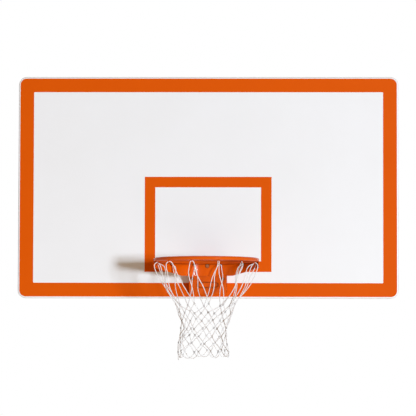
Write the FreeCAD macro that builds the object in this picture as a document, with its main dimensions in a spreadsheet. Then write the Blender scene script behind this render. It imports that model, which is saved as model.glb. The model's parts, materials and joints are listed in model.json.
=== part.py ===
# Steel basketball backboard with a breakaway goal and a knotted net.
#
# Frame: +Z up, the board faces -Y, +X is to the right of someone facing the board.
# The origin is the centre of the four rear mounting holes, on the plane that meets the wall bracket.
# All lengths are in millimetres.
import FreeCAD
import Part
import Sketcher
import math
import os
from FreeCAD import Placement, Rotation, Vector

# Driving dimensions: alias, value, what it is
SIZES = [
    ("board_width", 1828.8, "board, 72 in wide"),
    ("board_height", 1066.8, "board, 42 in tall"),
    ("flange_depth", 38.1, "turned-back flange of the pan, front face to rear edge"),
    ("sheet_thickness", 2.7, "steel sheet of the pan, 12 gauge"),
    ("corner_radius", 38.1, "corners of the board seen from the front"),
    ("bend_radius", 6.35, "outside radius of the fold between face and flange"),
    ("marking_thickness", 0.3, "orange marking film"),
    ("border_margin", 1.5, "white strip between the fold and the border band"),
    ("border_band", 66, "width of the border band"),
    ("border_inner_radius", 4, "inside corners of the border band"),
    ("target_width", 609.6, "target rectangle, outside"),
    ("target_height", 457.2, "target rectangle, outside"),
    ("target_band", 50.55, "width of the target line"),
    ("target_rise", 127, "lower edge of the board to the lower edge of the target"),
    ("mount_spacing_wide", 889, "rear mounting holes, across"),
    ("mount_spacing_tall", 508, "rear mounting holes, up"),
    ("mount_hole", 14.3, "rear mounting hole"),
    ("upright_depth", 41.3, "upright channels, back of the face to the mounting plane"),
    ("upright_width", 60, "upright channels"),
    ("cross_depth", 32, "cross channels"),
    ("cross_width", 50, "cross channels"),
    ("cross_rise", 54, "top of the goal's back plate to the lower cross channel"),
    ("channel_gauge", 3, "steel of all channels"),
    ("channel_bend", 6, "outside radius of the bends in the channels"),
    ("backing_width", 220, "plate behind the goal"),
    ("backing_thickness", 6, "plate behind the goal"),
    ("ring_inner_diameter", 457.2, "ring, 18 in inside"),
    ("ring_rod", 18, "round bar of the ring"),
    ("ring_gap", 152.4, "face of the board to the nearest inside of the ring"),
    ("weld_gap", 0.2, "room left at welded curved seats"),
    ("brace_offset", 5.5, "bar centre of the ring to the inner face of the brace"),
    ("brace_thickness", 4, "wraparound brace"),
    ("brace_drop", 66, "ring level to the lower edge of the brace, at the back"),
    ("brace_end_drop", 32, "ring level to the lower edge of the brace, at its ends"),
    ("brace_flat", 240, "level stretch of the lower edge of the brace"),
    ("brace_sweep_angle", 184, "degrees that the brace wraps round the ring"),
    ("brace_end_radius", 14, "lower end corners of the brace"),
    ("brace_bolt_drop", 18.6, "ring level to the bolt in the brace"),
    ("bracket_width", 178, "bracket over its cheeks"),
    ("plate_thickness", 6, "back plate of the bracket"),
    ("plate_rise", 32, "top of the back plate over ring level"),
    ("plate_drop", 152, "bottom of the back plate under ring level"),
    ("plate_corner", 8, "corners of the back plate"),
    ("goal_bolt_spacing", 127, "goal bolts, across and up"),
    ("goal_bolt_rise", 21, "upper goal bolts over ring level"),
    ("goal_bolt", 12.7, "goal bolt shank"),
    ("goal_bolt_hole", 13.5, "holes for the goal bolts"),
    ("goal_bolt_across", 19, "goal bolt head and nut across flats"),
    ("goal_bolt_head", 8, "goal bolt head height"),
    ("goal_nut_height", 11, "goal nut height"),
    ("washer_thickness", 2.5, "goal bolt washer"),
    ("washer_diameter", 26, "goal bolt washer"),
    ("bolt_stub", 5, "bolt end beyond its nut"),
    ("cheek_thickness", 5, "bracket cheeks"),
    ("cheek_rise", 4, "top of the cheeks over ring level"),
    ("cheek_flange", 24, "folded flange of the cheeks, width"),
    ("pad_thickness", 4, "rubber stop pad"),
    ("pad_height", 8, "rubber stop pad"),
    ("pivot_drop", 20, "pivot pin under ring level"),
    ("pivot_pin_diameter", 14, "pivot pin"),
    ("pivot_head_diameter", 24, "head of the pivot pin"),
    ("pivot_head", 6, "head and nut of the pivot pin, height"),
    ("bush_wall", 2, "nylon bush"),
    ("bush_collar", 5, "collar of the bush beyond its sleeve"),
    ("running_clearance", 0.05, "pin in its bushes, on the radius"),
    ("side_clearance", 0.4, "bush collar to cheek"),
    ("boss_radius", 14, "round rear end of the arms"),
    ("arm_gap", 4, "arms to cheeks"),
    ("arm_thickness", 5, "side arms of the rim"),
    ("arm_rise", 2, "top of the arms over ring level"),
    ("arm_height", 20, "side arms"),
    ("top_plate_thickness", 5, "top plate of the rim"),
    ("nose_clearance", 14, "cover to the deep front of the arms"),
    ("nose_lift", 4, "lower edge of the brace to the lower edge of the arms"),
    ("web_thickness", 5, "front web of the rim"),
    ("brace_bolt", 10, "bolt through brace and web"),
    ("brace_bolt_across", 15, "bolt through brace and web, across flats"),
    ("brace_bolt_head", 6, "bolt through brace and web, head"),
    ("brace_nut_height", 8, "nut behind the web"),
    ("spring_lever", 25, "pivot to the spring axes"),
    ("spring_spread", 76, "between the two spring axes"),
    ("spring_outer", 28, "return spring, outside"),
    ("spring_wire", 6, "return spring, wire"),
    ("spring_turns", 6, "return spring, turns"),
    ("spring_seat_gap", 0.3, "spring to its seats"),
    ("spring_plate_depth", 36, "plate over the springs, front to back"),
    ("spring_plate_thickness", 5, "plate over the springs"),
    ("guide_diameter", 14, "guide pegs in the springs"),
    ("guide_height", 34, "guide pegs in the springs"),
    ("shelf_drop", 83, "top of the spring shelf under ring level"),
    ("shelf_thickness", 5, "spring shelf"),
    ("shelf_margin", 2, "spring to the front edge of the shelf"),
    ("cover_clearance", 8, "shelf to the sloped front of the cheeks"),
    ("cover_foot", 6, "foot of the sloped front, from the back plate"),
    ("cover_foot_rise", 2, "foot of the sloped front over the bottom of the back plate"),
    ("cover_overlap", 5, "top of the cover over the lower edge of the brace"),
    ("cover_thickness", 2.5, "sloped front cover"),
    ("cover_corner", 8, "corners of the cover"),
    ("cover_screw", 8, "cover screw shank"),
    ("cover_screw_across", 13, "cover screw and nut across flats"),
    ("cover_screw_head", 5.5, "cover screw head"),
    ("cover_nut_height", 6.5, "nut behind the flange"),
    ("cover_screw_inset", 16, "cover screws from the sides of the cover"),
    ("cover_screw_lowering", 20, "cover screws from the top of the cover"),
    ("screw_play", 0.25, "screws and bolts in their holes, on the radius"),
    ("bead_length", 100, "oval stiffening bead of the cover"),
    ("bead_height", 36, "oval stiffening bead of the cover"),
    ("bead_width", 5, "oval stiffening bead of the cover"),
    ("bead_relief", 1.5, "bead over the cover"),
    ("hook_wire", 4, "wire of the net hooks"),
    ("hook_leg_offset", 1.95, "bar centre of the ring to the long leg of a hook, outwards"),
    ("hook_reach", 9, "long leg to short leg of a hook"),
    ("hook_bend", 3, "bends of a hook"),
    ("hook_drop", 18, "ring level to the bottom wire of a hook"),
    ("hook_tip", 12, "ring level to the tip of a hook"),
    ("cord_diameter", 4.5, "net cord"),
    ("knot_diameter", 12, "knots of the net"),
    ("knot_inset", 4.2, "centre of a knot to the ends of the cords in it"),
    ("knot_spread", 2.7, "centre of a knot to a loop that enters it, sideways"),
    ("net_loop_radius", 5.2, "top loops of the net round the hooks"),
    ("net_loop_drop", 191, "hooks to the first row of knots"),
    ("net_row", 36, "between two rows of knots"),
    ("net_tail", 20, "last row of knots to the bottom of its loops"),
]
NET_LOOPS = 12
# Radius of each row of knots, from the top, as a share of the inside radius of the ring
NET_ROW_SHARES = (0.615, 0.535, 0.482, 0.458, 0.456, 0.474, 0.505)
NET_TAIL_SHARE = 0.535
# Corner radius of the cover's bead as a share of half its height, so that its ends are nearly half circles
BEAD_ROUND_SHARE = 0.96
# Flat circle on the free end of a hexagon as a share of its size across flats
FREE_END_SHARE = 0.95
HEX_SIDES = 6
QUARTERS = 4
MIRROR_SIDES = (("left", -1), ("right", 1))
FULL_TURN = 360
RIGHT_ANGLE = 90
# Two numbers closer than this are taken as equal
NEAR = 1e-6

# Places worked out from the driving dimensions
PLACES = [
    ("face_y", "-(sizes.upright_depth + sizes.sheet_thickness)"),
    ("sheet_back", "places.face_y + sizes.sheet_thickness"),
    ("board_bottom", "-sizes.board_height / 2"),
    ("border_half_width", "sizes.board_width / 2 - sizes.bend_radius - sizes.border_margin"),
    ("border_half_height", "sizes.board_height / 2 - sizes.bend_radius - sizes.border_margin"),
    ("border_radius", "sizes.corner_radius - sizes.bend_radius - sizes.border_margin"),
    ("target_bottom", "places.board_bottom + sizes.target_rise"),
    ("target_top", "places.target_bottom + sizes.target_height"),
    ("ring_level", "places.target_bottom + sizes.target_band - sizes.ring_rod / 2"),
    ("ring_radius", "(sizes.ring_inner_diameter + sizes.ring_rod) / 2"),
    ("ring_y", "places.face_y - sizes.ring_gap - sizes.ring_inner_diameter / 2"),
    ("brace_inner", "places.ring_radius + sizes.brace_offset"),
    ("brace_outer", "places.brace_inner + sizes.brace_thickness"),
    ("brace_seat", "sqrt((sizes.ring_rod / 2)^2 - sizes.brace_offset^2) + sizes.weld_gap"),
    ("brace_bottom", "places.ring_level - sizes.brace_drop"),
    ("upright_inner", "(sizes.mount_spacing_wide - sizes.upright_width) / 2"),
    ("upright_outer", "(sizes.mount_spacing_wide + sizes.upright_width) / 2"),
    ("upright_half", "sizes.board_height / 2 - sizes.sheet_thickness - sizes.bend_radius"),
    ("plate_back", "places.face_y - sizes.marking_thickness"),
    ("plate_front", "places.plate_back - sizes.plate_thickness"),
    ("plate_top", "places.ring_level + sizes.plate_rise"),
    ("plate_bottom", "places.ring_level - sizes.plate_drop"),
    ("lower_cross", "places.plate_top + sizes.cross_rise + sizes.cross_width / 2"),
    ("goal_bolt_top", "places.ring_level + sizes.goal_bolt_rise"),
    ("goal_bolt_low", "places.goal_bolt_top - sizes.goal_bolt_spacing"),
    ("backing_back", "places.sheet_back + sizes.backing_thickness"),
    ("arm_rear", "places.plate_front - sizes.pad_thickness"),
    ("pivot_y", "places.arm_rear - sizes.boss_radius"),
    ("pivot_z", "places.ring_level - sizes.pivot_drop"),
    ("arm_top", "places.ring_level + sizes.arm_rise"),
    ("arm_bottom", "places.arm_top - sizes.arm_height"),
    ("cheek_inner", "sizes.bracket_width / 2 - sizes.cheek_thickness"),
    ("arm_outer", "places.cheek_inner - sizes.arm_gap"),
    ("arm_inner", "places.arm_outer - sizes.arm_thickness"),
    ("bush_outer", "sizes.pivot_pin_diameter / 2 + sizes.bush_wall"),
    ("spring_y", "places.pivot_y - sizes.spring_lever"),
    ("shelf_top", "places.ring_level - sizes.shelf_drop"),
    ("shelf_bottom", "places.shelf_top - sizes.shelf_thickness"),
    ("shelf_front", "places.spring_y - sizes.spring_outer / 2 - sizes.shelf_margin"),
    ("foot_y", "places.plate_front - sizes.cover_foot"),
    ("foot_z", "places.plate_bottom + sizes.cover_foot_rise"),
    ("cover_lean", "(places.foot_y - places.shelf_front + sizes.cover_clearance)"
                   " / (places.shelf_bottom - places.foot_z)"),
    ("cover_angle", "atan(places.cover_lean) / 1 deg"),
    ("head_z", "places.brace_bottom + sizes.cover_overlap"),
    ("head_y", "places.foot_y - places.cover_lean * (places.head_z - places.foot_z)"),
    ("slope_up", "1 / sqrt(1 + places.cover_lean^2)"),
    ("slope_out", "places.cover_lean * places.slope_up"),
    ("cover_length", "(places.head_z - places.foot_z) / places.slope_up"),
    ("screw_s", "places.cover_length - sizes.cover_screw_lowering"),
    ("screw_x", "sizes.bracket_width / 2 - sizes.cover_screw_inset"),
    ("nose_y", "places.head_y - sizes.nose_clearance"),
    ("nose_bottom", "places.brace_bottom + sizes.nose_lift"),
    ("web_front", "places.ring_y + places.brace_outer + sizes.weld_gap"),
    ("web_back", "places.web_front + sizes.web_thickness"),
]

doc = FreeCAD.newDocument("Backboard")
sheet = doc.addObject("Spreadsheet::Sheet", "sizes")
for row, (alias, number, note) in enumerate(SIZES, start=1):
    sheet.set(f"A{row}", note)
    sheet.set(f"B{row}", str(number))
    sheet.setAlias(f"B{row}", alias)
doc.recompute()

places = doc.addObject("App::VarSet", "places")
for name, formula in PLACES:
    places.addProperty("App::PropertyFloat", name, "Places", "worked out from the sizes")
    places.setExpression(name, formula)
doc.recompute()


def size(name):
    """A driving dimension as a number."""
    return float(sheet.get(name))


def place_of(name):
    """A worked-out place as a number."""
    return float(getattr(places, name))


def value(formula):
    """The number that a formula of sizes and places gives."""
    return float(places.evalExpression(formula))


def bind(thing, formulas):
    """Tie properties of an object to formulas of sizes and places."""
    for prop, formula in formulas.items():
        thing.setExpression(prop, formula)
    return thing


def seat(thing, x="0", y="0", z="0", turn=None):
    """Put an object at a place given by formulas, turned about an axis by a fixed angle."""
    if turn:
        thing.Placement = Placement(Vector(), Rotation(Vector(*turn[0]), turn[1]))
    return bind(thing, {"Placement.Base.x": x, "Placement.Base.y": y, "Placement.Base.z": z})


ALONG_X = ((0, 1, 0), RIGHT_ANGLE)
ALONG_Y = ((1, 0, 0), -RIGHT_ANGLE)
AGAINST_X = ((0, 1, 0), -RIGHT_ANGLE)
INTO_BRACKET = ((-1, 0, 0), RIGHT_ANGLE)


def new_body(label):
    body = doc.addObject("PartDesign::Body", label)
    body.Label = label
    return body


def new_sketch(body, role, offset="0"):
    """A sketch on one of the body's own origin planes, moved along the plane's normal."""
    sketch = body.newObject("Sketcher::SketchObject", body.Label + "_sketch")
    plane = next(feature for feature in body.Origin.OriginFeatures if feature.Role == role)
    sketch.AttachmentSupport = (plane, [""])
    sketch.MapMode = "FlatFace"
    sketch.setExpression("AttachmentOffset.Base.z", offset)
    return sketch


def pin_point(sketch, geometry, point, x, y):
    """Hold a point of a sketch at formulas for its two coordinates."""
    for kind, formula in (("DistanceX", x), ("DistanceY", y)):
        number = sketch.addConstraint(
            Sketcher.Constraint(kind, -1, 1, geometry, point, value(formula)))
        sketch.setExpression(f"Constraints[{number}]", formula)


def polygon(sketch, corners):
    """A closed outline of straight lines through corners given as formulas."""
    first = sketch.GeometryCount
    points = [Vector(value(x), value(y), 0) for x, y in corners]
    count = len(points)
    for index in range(count):
        sketch.addGeometry(Part.LineSegment(points[index], points[(index + 1) % count]), False)
    for index in range(count):
        sketch.addConstraint(Sketcher.Constraint(
            "Coincident", first + index, 2, first + (index + 1) % count, 1))
    for index, (x, y) in enumerate(corners):
        pin_point(sketch, first + index, 1, x, y)


def rectangle(sketch, left, right, low, high):
    polygon(sketch, [(left, low), (right, low), (right, high), (left, high)])


def rounded_rectangle(sketch, left, right, low, high, radius):
    """A rectangle between formulas for its sides, with tangent arcs at its corners."""
    first = sketch.GeometryCount
    x0, x1, y0, y1, r = (value(formula) for formula in (left, right, low, high, radius))
    sides = [((x0 + r, y0), (x1 - r, y0)), ((x1, y0 + r), (x1, y1 - r)),
             ((x1 - r, y1), (x0 + r, y1)), ((x0, y1 - r), (x0, y0 + r))]
    centres = [(x1 - r, y0 + r), (x1 - r, y1 - r), (x0 + r, y1 - r), (x0 + r, y0 + r)]
    quarter = math.pi / 2
    for index, (start, end) in enumerate(sides):
        sketch.addGeometry(Part.LineSegment(Vector(*start, 0), Vector(*end, 0)), False)
        circle_shape = Part.Circle(Vector(*centres[index], 0), Vector(0, 0, 1), r)
        turn = (index - 1) * quarter
        sketch.addGeometry(Part.ArcOfCircle(circle_shape, turn, turn + quarter), False)
    for index in range(len(sides)):
        line = first + 2 * index
        arc = line + 1
        following = first + (2 * index + 2) % (2 * len(sides))
        sketch.addConstraint(Sketcher.Constraint("Tangent", line, 2, arc, 1))
        sketch.addConstraint(Sketcher.Constraint("Tangent", arc, 2, following, 1))
        number = sketch.addConstraint(Sketcher.Constraint("Radius", arc, r))
        sketch.setExpression(f"Constraints[{number}]", radius)
    for kind, line, formula in (("DistanceY", 0, low), ("DistanceX", 2, right),
                                ("DistanceY", 4, high), ("DistanceX", 6, left)):
        straight = "Horizontal" if kind == "DistanceY" else "Vertical"
        sketch.addConstraint(Sketcher.Constraint(straight, first + line))
        number = sketch.addConstraint(
            Sketcher.Constraint(kind, -1, 1, first + line, 1, value(formula)))
        sketch.setExpression(f"Constraints[{number}]", formula)


def circle(sketch, x, y, radius):
    number = sketch.addGeometry(
        Part.Circle(Vector(value(x), value(y), 0), Vector(0, 0, 1), value(radius)), False)
    pin_point(sketch, number, 3, x, y)
    constraint = sketch.addConstraint(Sketcher.Constraint("Radius", number, value(radius)))
    sketch.setExpression(f"Constraints[{constraint}]", radius)


def pad(body, sketch, length):
    feature = body.newObject("PartDesign::Pad", body.Label + "_pad")
    feature.Profile = sketch
    feature.setExpression("Length", length)
    doc.recompute()
    return feature


def pocket(body, sketch, length=None, along_normal=False):
    """Cut the sketch into the body, to a depth or right through, and make sure that it cut."""
    before = body.Shape.Volume
    feature = body.newObject("PartDesign::Pocket", body.Label + "_pocket")
    feature.Profile = sketch
    feature.Reversed = along_normal
    if length:
        feature.setExpression("Length", length)
    else:
        feature.Type = "ThroughAll"
    doc.recompute()
    if not feature.Shape.Volume < before:
        raise RuntimeError(f"a cut in {body.Label} removed nothing")
    return feature


def fillet(body, base, edges, radius):
    feature = body.newObject("PartDesign::Fillet", body.Label + "_fillet")
    feature.Base = (base, edges)
    feature.setExpression("Radius", radius)
    doc.recompute()
    return feature


def edges_at_y(feature, y):
    """Names of the edges that lie wholly in the plane at this y."""
    return [f"Edge{number}" for number, edge in enumerate(feature.Shape.Edges, start=1)
            if abs(edge.BoundBox.YMin - y) < NEAR and abs(edge.BoundBox.YMax - y) < NEAR]


def plate(label, back, thickness, left, right, low, high, corner=None):
    """A flat plate whose back lies in the plane y = back and which grows towards the front."""
    body = new_body(label)
    outline = new_sketch(body, "XZ_Plane", f"-({back})")
    if corner:
        rounded_rectangle(outline, left, right, low, high, corner)
    else:
        rectangle(outline, left, right, low, high)
    pad(body, outline, thickness)
    return body


def box(label, left, right, front, back, low, high):
    thing = doc.addObject("Part::Box", label)
    bind(thing, {"Length": f"{right} - ({left})", "Width": f"{back} - ({front})",
                 "Height": f"{high} - ({low})"})
    return seat(thing, left, front, low)


def cylinder(label, radius, height, x="0", y="0", z="0", turn=None):
    thing = doc.addObject("Part::Cylinder", label)
    bind(thing, {"Radius": radius, "Height": height})
    return seat(thing, x, y, z, turn)


def combine(kind, label, base, tool):
    thing = doc.addObject(kind, label)
    thing.Base = base
    thing.Tool = tool
    thing.Label = label
    return thing


def fuse(label, base, tool):
    return combine("Part::Fuse", label, base, tool)


def cut(label, base, tool):
    return combine("Part::Cut", label, base, tool)


def hexagon(label, across, height, z="0", free_end_up=True):
    """A hexagonal block with the corners turned off at its free end."""
    prism = doc.addObject("Part::Prism", label + "_prism")
    prism.Polygon = HEX_SIDES
    bind(prism, {"Circumradius": f"{across} / sqrt(3)", "Height": height})
    turning = doc.addObject("Part::Cone", label + "_turning")
    free = f"{FREE_END_SHARE} * {across} / 2"
    seated = f"{free} + {height} * sqrt(3)"
    low, high = (seated, free) if free_end_up else (free, seated)
    bind(turning, {"Radius1": low, "Radius2": high, "Height": height})
    return combine("Part::Common", label, seat(prism, z=z), seat(turning, z=z))


def group(label, things):
    thing = doc.addObject("Part::Compound", label)
    thing.Links = things
    thing.Label = label
    return thing


def hex_bolt(label, across, head, shank, length):
    """A bolt whose head seats on its local XY plane; the shank runs along local +Z."""
    top = hexagon(label + "_head", across, head, f"-({head})", free_end_up=False)
    stem = cylinder(label + "_shank", f"{shank} / 2", length)
    return fuse(label, top, stem)


def hex_nut(label, across, height, bore):
    """A nut that stands on its local XY plane."""
    block = hexagon(label + "_block", across, height)
    hole = cylinder(label + "_bore", f"{bore} / 2", height)
    return cut(label, block, hole)


# The board
def goal_bolt_places():
    half = "sizes.goal_bolt_spacing / 2"
    return [(x, z) for x in (f"-{half}", half) for z in ("places.goal_bolt_low", "places.goal_bolt_top")]


def drill_goal_holes(body, plane):
    holes = new_sketch(body, "XZ_Plane", f"-({plane})")
    for x, z in goal_bolt_places():
        circle(holes, x, z, "sizes.goal_bolt_hole / 2")
    return pocket(body, holes, along_normal=True)


def goal_drills(label):
    """Rods where the goal bolts pass through the markings, if a marking lies there."""
    rods = [cylinder(f"{label}_drill_{number}", "sizes.goal_bolt_hole / 2", "2 * sizes.sheet_thickness", x,
                     "places.face_y - sizes.sheet_thickness", z, ALONG_Y)
            for number, (x, z) in enumerate(goal_bolt_places(), start=1)]
    return group(f"{label}_drills", rods)


def make_face_panel():
    """The pressed pan: a face with a flange folded back all round."""
    half_width, half_height = "sizes.board_width / 2", "sizes.board_height / 2"
    rear = "places.face_y + sizes.flange_depth"
    body = plate("face_panel", rear, "sizes.flange_depth", f"-{half_width}", half_width,
                 f"-{half_height}", half_height, "sizes.corner_radius")
    fillet(body, body.Tip, edges_at_y(body.Tip, place_of("face_y"))[:1], "sizes.bend_radius")
    hollow = new_sketch(body, "XZ_Plane", f"-({rear})")
    wall = "sizes.sheet_thickness"
    rounded_rectangle(hollow, f"-{half_width} + {wall}", f"{half_width} - {wall}",
                      f"-{half_height} + {wall}", f"{half_height} - {wall}",
                      f"sizes.corner_radius - {wall}")
    pocket(body, hollow, f"sizes.flange_depth - {wall}", along_normal=True)
    inside = edges_at_y(body.Tip, place_of("sheet_back"))
    fillet(body, body.Tip, inside[:1], f"sizes.bend_radius - {wall}")
    drill_goal_holes(body, rear)
    return body


def make_markings():
    """The orange border band and the target rectangle, as films on the face."""
    half_width, half_height = "places.border_half_width", "places.border_half_height"
    border = plate("border_marking_blank", "places.face_y", "sizes.marking_thickness",
                   f"-{half_width}", half_width, f"-{half_height}", half_height, "places.border_radius")
    window = new_sketch(border, "XZ_Plane", "-places.face_y")
    band = "sizes.border_band"
    rounded_rectangle(window, f"-{half_width} + {band}", f"{half_width} - {band}",
                      f"-{half_height} + {band}", f"{half_height} - {band}", "sizes.border_inner_radius")
    pocket(border, window, along_normal=True)
    half = "sizes.target_width / 2"
    target = plate("target_marking_blank", "places.face_y", "sizes.marking_thickness",
                   f"-{half}", half, "places.target_bottom", "places.target_top")
    window = new_sketch(target, "XZ_Plane", "-places.face_y")
    line = "sizes.target_band"
    rectangle(window, f"-{half} + {line}", f"{half} - {line}",
              f"places.target_bottom + {line}", f"places.target_top - {line}")
    pocket(target, window, along_normal=True)
    return [cut(film.Label.removesuffix("_blank"), film, goal_drills(film.Label)) for film in (border, target)]


OPPOSITE = {"left": "right", "right": "left", "low": "high", "high": "low"}
OUTWARDS = {"left": "-", "right": "+", "low": "-", "high": "+"}


def folded_channel(label, plane, start, length, sides, open_side):
    """A channel folded from sheet: three walls with rounded bends, open on one side."""
    wall, bend = "sizes.channel_gauge", "sizes.channel_bend"
    out = OUTWARDS[open_side]
    beyond = f"{sides[open_side]} {out} 2 * {bend}"
    body = new_body(label)
    outline = new_sketch(body, plane, start)
    rounded_rectangle(outline, **{**sides, open_side: beyond}, radius=bend)
    pad(body, outline, length)
    hollow = new_sketch(body, plane, start)
    inner = {side: f"{sides[side]} {OUTWARDS[OPPOSITE[side]]} {wall}" for side in sides}
    inner[open_side] = f"{beyond} {out} 2 * {bend}"
    rounded_rectangle(hollow, **inner, radius=f"{bend} - {wall}")
    pocket(body, hollow, along_normal=True)
    trim = new_sketch(body, plane, start)
    rectangle(trim, **{**sides, OPPOSITE[open_side]: sides[open_side], open_side: beyond})
    pocket(body, trim, along_normal=True)
    return body


def make_upright(side, sign):
    """A channel behind the face, open to the outside, with two mounting holes in its rear flange."""
    inner, outer = f"{sign} * places.upright_inner", f"{sign} * places.upright_outer"
    left, right = (inner, outer) if sign > 0 else (outer, inner)
    sides = {"left": left, "right": right, "low": "places.sheet_back", "high": "0"}
    body = folded_channel(f"{side}_upright", "XY_Plane", "-places.upright_half", "2 * places.upright_half",
                          sides, side)
    holes = new_sketch(body, "XZ_Plane")
    for z in ("-sizes.mount_spacing_tall / 2", "sizes.mount_spacing_tall / 2"):
        circle(holes, f"{sign} * sizes.mount_spacing_wide / 2", z, "sizes.mount_hole / 2")
    pocket(body, holes, "sizes.channel_gauge", along_normal=True)
    return body


def make_cross_channel(label, centre):
    """A channel between the uprights, open downwards."""
    sides = {"left": "places.sheet_back", "right": "places.sheet_back + sizes.cross_depth",
             "low": f"{centre} - sizes.cross_width / 2", "high": f"{centre} + sizes.cross_width / 2"}
    return folded_channel(label, "YZ_Plane", "-places.upright_inner", "2 * places.upright_inner", sides, "low")


def make_backing_plate():
    """The plate that spreads the load of the goal, from the lower cross channel down."""
    half = "sizes.backing_width / 2"
    body = plate("goal_backing_plate", "places.backing_back", "sizes.backing_thickness", f"-{half}", half,
                 "places.plate_bottom", "places.lower_cross - sizes.cross_width / 2")
    drill_goal_holes(body, "places.backing_back")
    return body


# The fixed bracket of the goal
def make_bracket_back_plate():
    half = "sizes.bracket_width / 2"
    body = plate("bracket_back_plate", "places.plate_back", "sizes.plate_thickness", f"-{half}", half,
                 "places.plate_bottom", "places.plate_top", "sizes.plate_corner")
    drill_goal_holes(body, "places.plate_back")
    return body


def screw_axis_y(depth):
    """Formula for y at a depth under the outer face of the sloped front, on the screw axis."""
    return f"places.foot_y - places.screw_s * places.slope_out + ({depth}) * places.slope_up"


def screw_axis_z(depth):
    return f"places.foot_z + places.screw_s * places.slope_up + ({depth}) * places.slope_out"


def lean_inwards(thing, x, depth):
    """Seat a screw or nut on a screw axis, its local +Z pointing into the bracket."""
    seat(thing, x, screw_axis_y(depth), screw_axis_z(depth), INTO_BRACKET)
    return bind(thing, {"Placement.Rotation.Angle": f"({RIGHT_ANGLE} - places.cover_angle) * 1 deg"})


def make_cheek(side, sign):
    """A kite-shaped cheek with a folded flange along its sloped front edge, which carries the cover."""
    body = new_body(f"{side}_cheek_blank")
    outer = "sizes.bracket_width / 2"
    start = "places.cheek_inner" if sign > 0 else f"-{outer}"
    outline = new_sketch(body, "YZ_Plane", start)
    top = "places.ring_level + sizes.cheek_rise"
    polygon(outline, [("places.plate_front", top), ("places.pivot_y - sizes.boss_radius", top),
                      ("places.head_y", "places.head_z"), ("places.foot_y", "places.foot_z"),
                      ("places.plate_front", "places.foot_z")])
    pad(body, outline, "sizes.cheek_thickness")
    start = "places.cheek_inner - sizes.cheek_flange" if sign > 0 else "-places.cheek_inner"
    fold = new_sketch(body, "YZ_Plane", start)
    in_y = "sizes.cheek_thickness * places.slope_up"
    in_z = "sizes.cheek_thickness * places.slope_out"
    polygon(fold, [("places.head_y", "places.head_z"), ("places.foot_y", "places.foot_z"),
                   (f"places.foot_y + {in_y}", f"places.foot_z + {in_z}"),
                   (f"places.head_y + {in_y}", f"places.head_z + {in_z}")])
    pad(body, fold, "sizes.cheek_flange")
    bore = new_sketch(body, "YZ_Plane", f"{sign} * {outer}")
    circle(bore, "places.pivot_y", "places.pivot_z", "sizes.pivot_pin_diameter / 2 + sizes.running_clearance")
    pocket(body, bore, "sizes.cheek_thickness", along_normal=sign < 0)
    drill = cylinder(f"{side}_cheek_drill", "sizes.cover_screw / 2 + sizes.screw_play",
                     "2 * sizes.cheek_thickness")
    lean_inwards(drill, f"{sign} * places.screw_x", "-sizes.cheek_thickness / 2")
    return cut(f"{side}_cheek", body, drill)


def make_front_cover():
    """The sloped sheet over the mechanism, with an oval stiffening bead, drawn flat and then leaned."""
    body = new_body("front_cover")
    half = "sizes.bracket_width / 2"
    outline = new_sketch(body, "XY_Plane")
    rounded_rectangle(outline, f"-{half}", half, "0", "places.cover_length", "sizes.cover_corner")
    for x in ("-places.screw_x", "places.screw_x"):
        circle(outline, x, "places.screw_s", "sizes.cover_screw / 2 + sizes.screw_play")
    pad(body, outline, "sizes.cover_thickness")
    bead = new_sketch(body, "XY_Plane", "sizes.cover_thickness")
    middle = "places.cover_length / 2"
    for inset in ("0", "sizes.bead_width"):
        wide, tall = f"(sizes.bead_length / 2 - {inset})", f"(sizes.bead_height / 2 - {inset})"
        rounded_rectangle(bead, f"-{wide}", wide, f"{middle} - {tall}", f"{middle} + {tall}",
                          f"{tall} * {BEAD_ROUND_SHARE}")
    pad(body, bead, "sizes.bead_relief")
    seat(body, "0", "places.foot_y", "places.foot_z", ((1, 0, 0), RIGHT_ANGLE))
    return bind(body, {"Placement.Rotation.Angle": f"({RIGHT_ANGLE} + places.cover_angle) * 1 deg"})


def make_cover_fasteners():
    screws, nuts = [], []
    through = "sizes.cover_thickness + sizes.cheek_thickness + sizes.cover_nut_height + sizes.bolt_stub"
    for side, sign in MIRROR_SIDES:
        screw = hex_bolt(f"{side}_cover_screw", "sizes.cover_screw_across", "sizes.cover_screw_head",
                         "sizes.cover_screw", through)
        screws.append(lean_inwards(screw, f"{sign} * places.screw_x", "-sizes.cover_thickness"))
        nut = hex_nut(f"{side}_cover_nut", "sizes.cover_screw_across", "sizes.cover_nut_height",
                      "sizes.cover_screw")
        nuts.append(lean_inwards(nut, f"{sign} * places.screw_x", "sizes.cheek_thickness"))
    return [group("cover_screws", screws), group("cover_nuts", nuts)]


def make_goal_fasteners():
    """Four bolts from the bracket through the face and the backing plate, with washers and nuts."""
    bolts, washers, nuts = [], [], []
    under_head = "places.plate_front - sizes.washer_thickness"
    through = f"places.backing_back - ({under_head}) + sizes.goal_nut_height + sizes.bolt_stub"
    for number, (x, z) in enumerate(goal_bolt_places(), start=1):
        bolt = hex_bolt(f"goal_bolt_{number}", "sizes.goal_bolt_across", "sizes.goal_bolt_head",
                        "sizes.goal_bolt", through)
        bolts.append(seat(bolt, x, under_head, z, ALONG_Y))
        disc = cylinder(f"goal_washer_disc_{number}", "sizes.washer_diameter / 2", "sizes.washer_thickness")
        hole = cylinder(f"goal_washer_hole_{number}", "sizes.goal_bolt_hole / 2", "sizes.washer_thickness")
        washers.append(seat(cut(f"goal_washer_{number}", disc, hole), x, under_head, z, ALONG_Y))
        nut = hex_nut(f"goal_nut_{number}", "sizes.goal_bolt_across", "sizes.goal_nut_height",
                      "sizes.goal_bolt")
        nuts.append(seat(nut, x, "places.backing_back", z, ALONG_Y))
    return [group("goal_bolts", bolts), group("goal_washers", washers), group("goal_nuts", nuts)]


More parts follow.
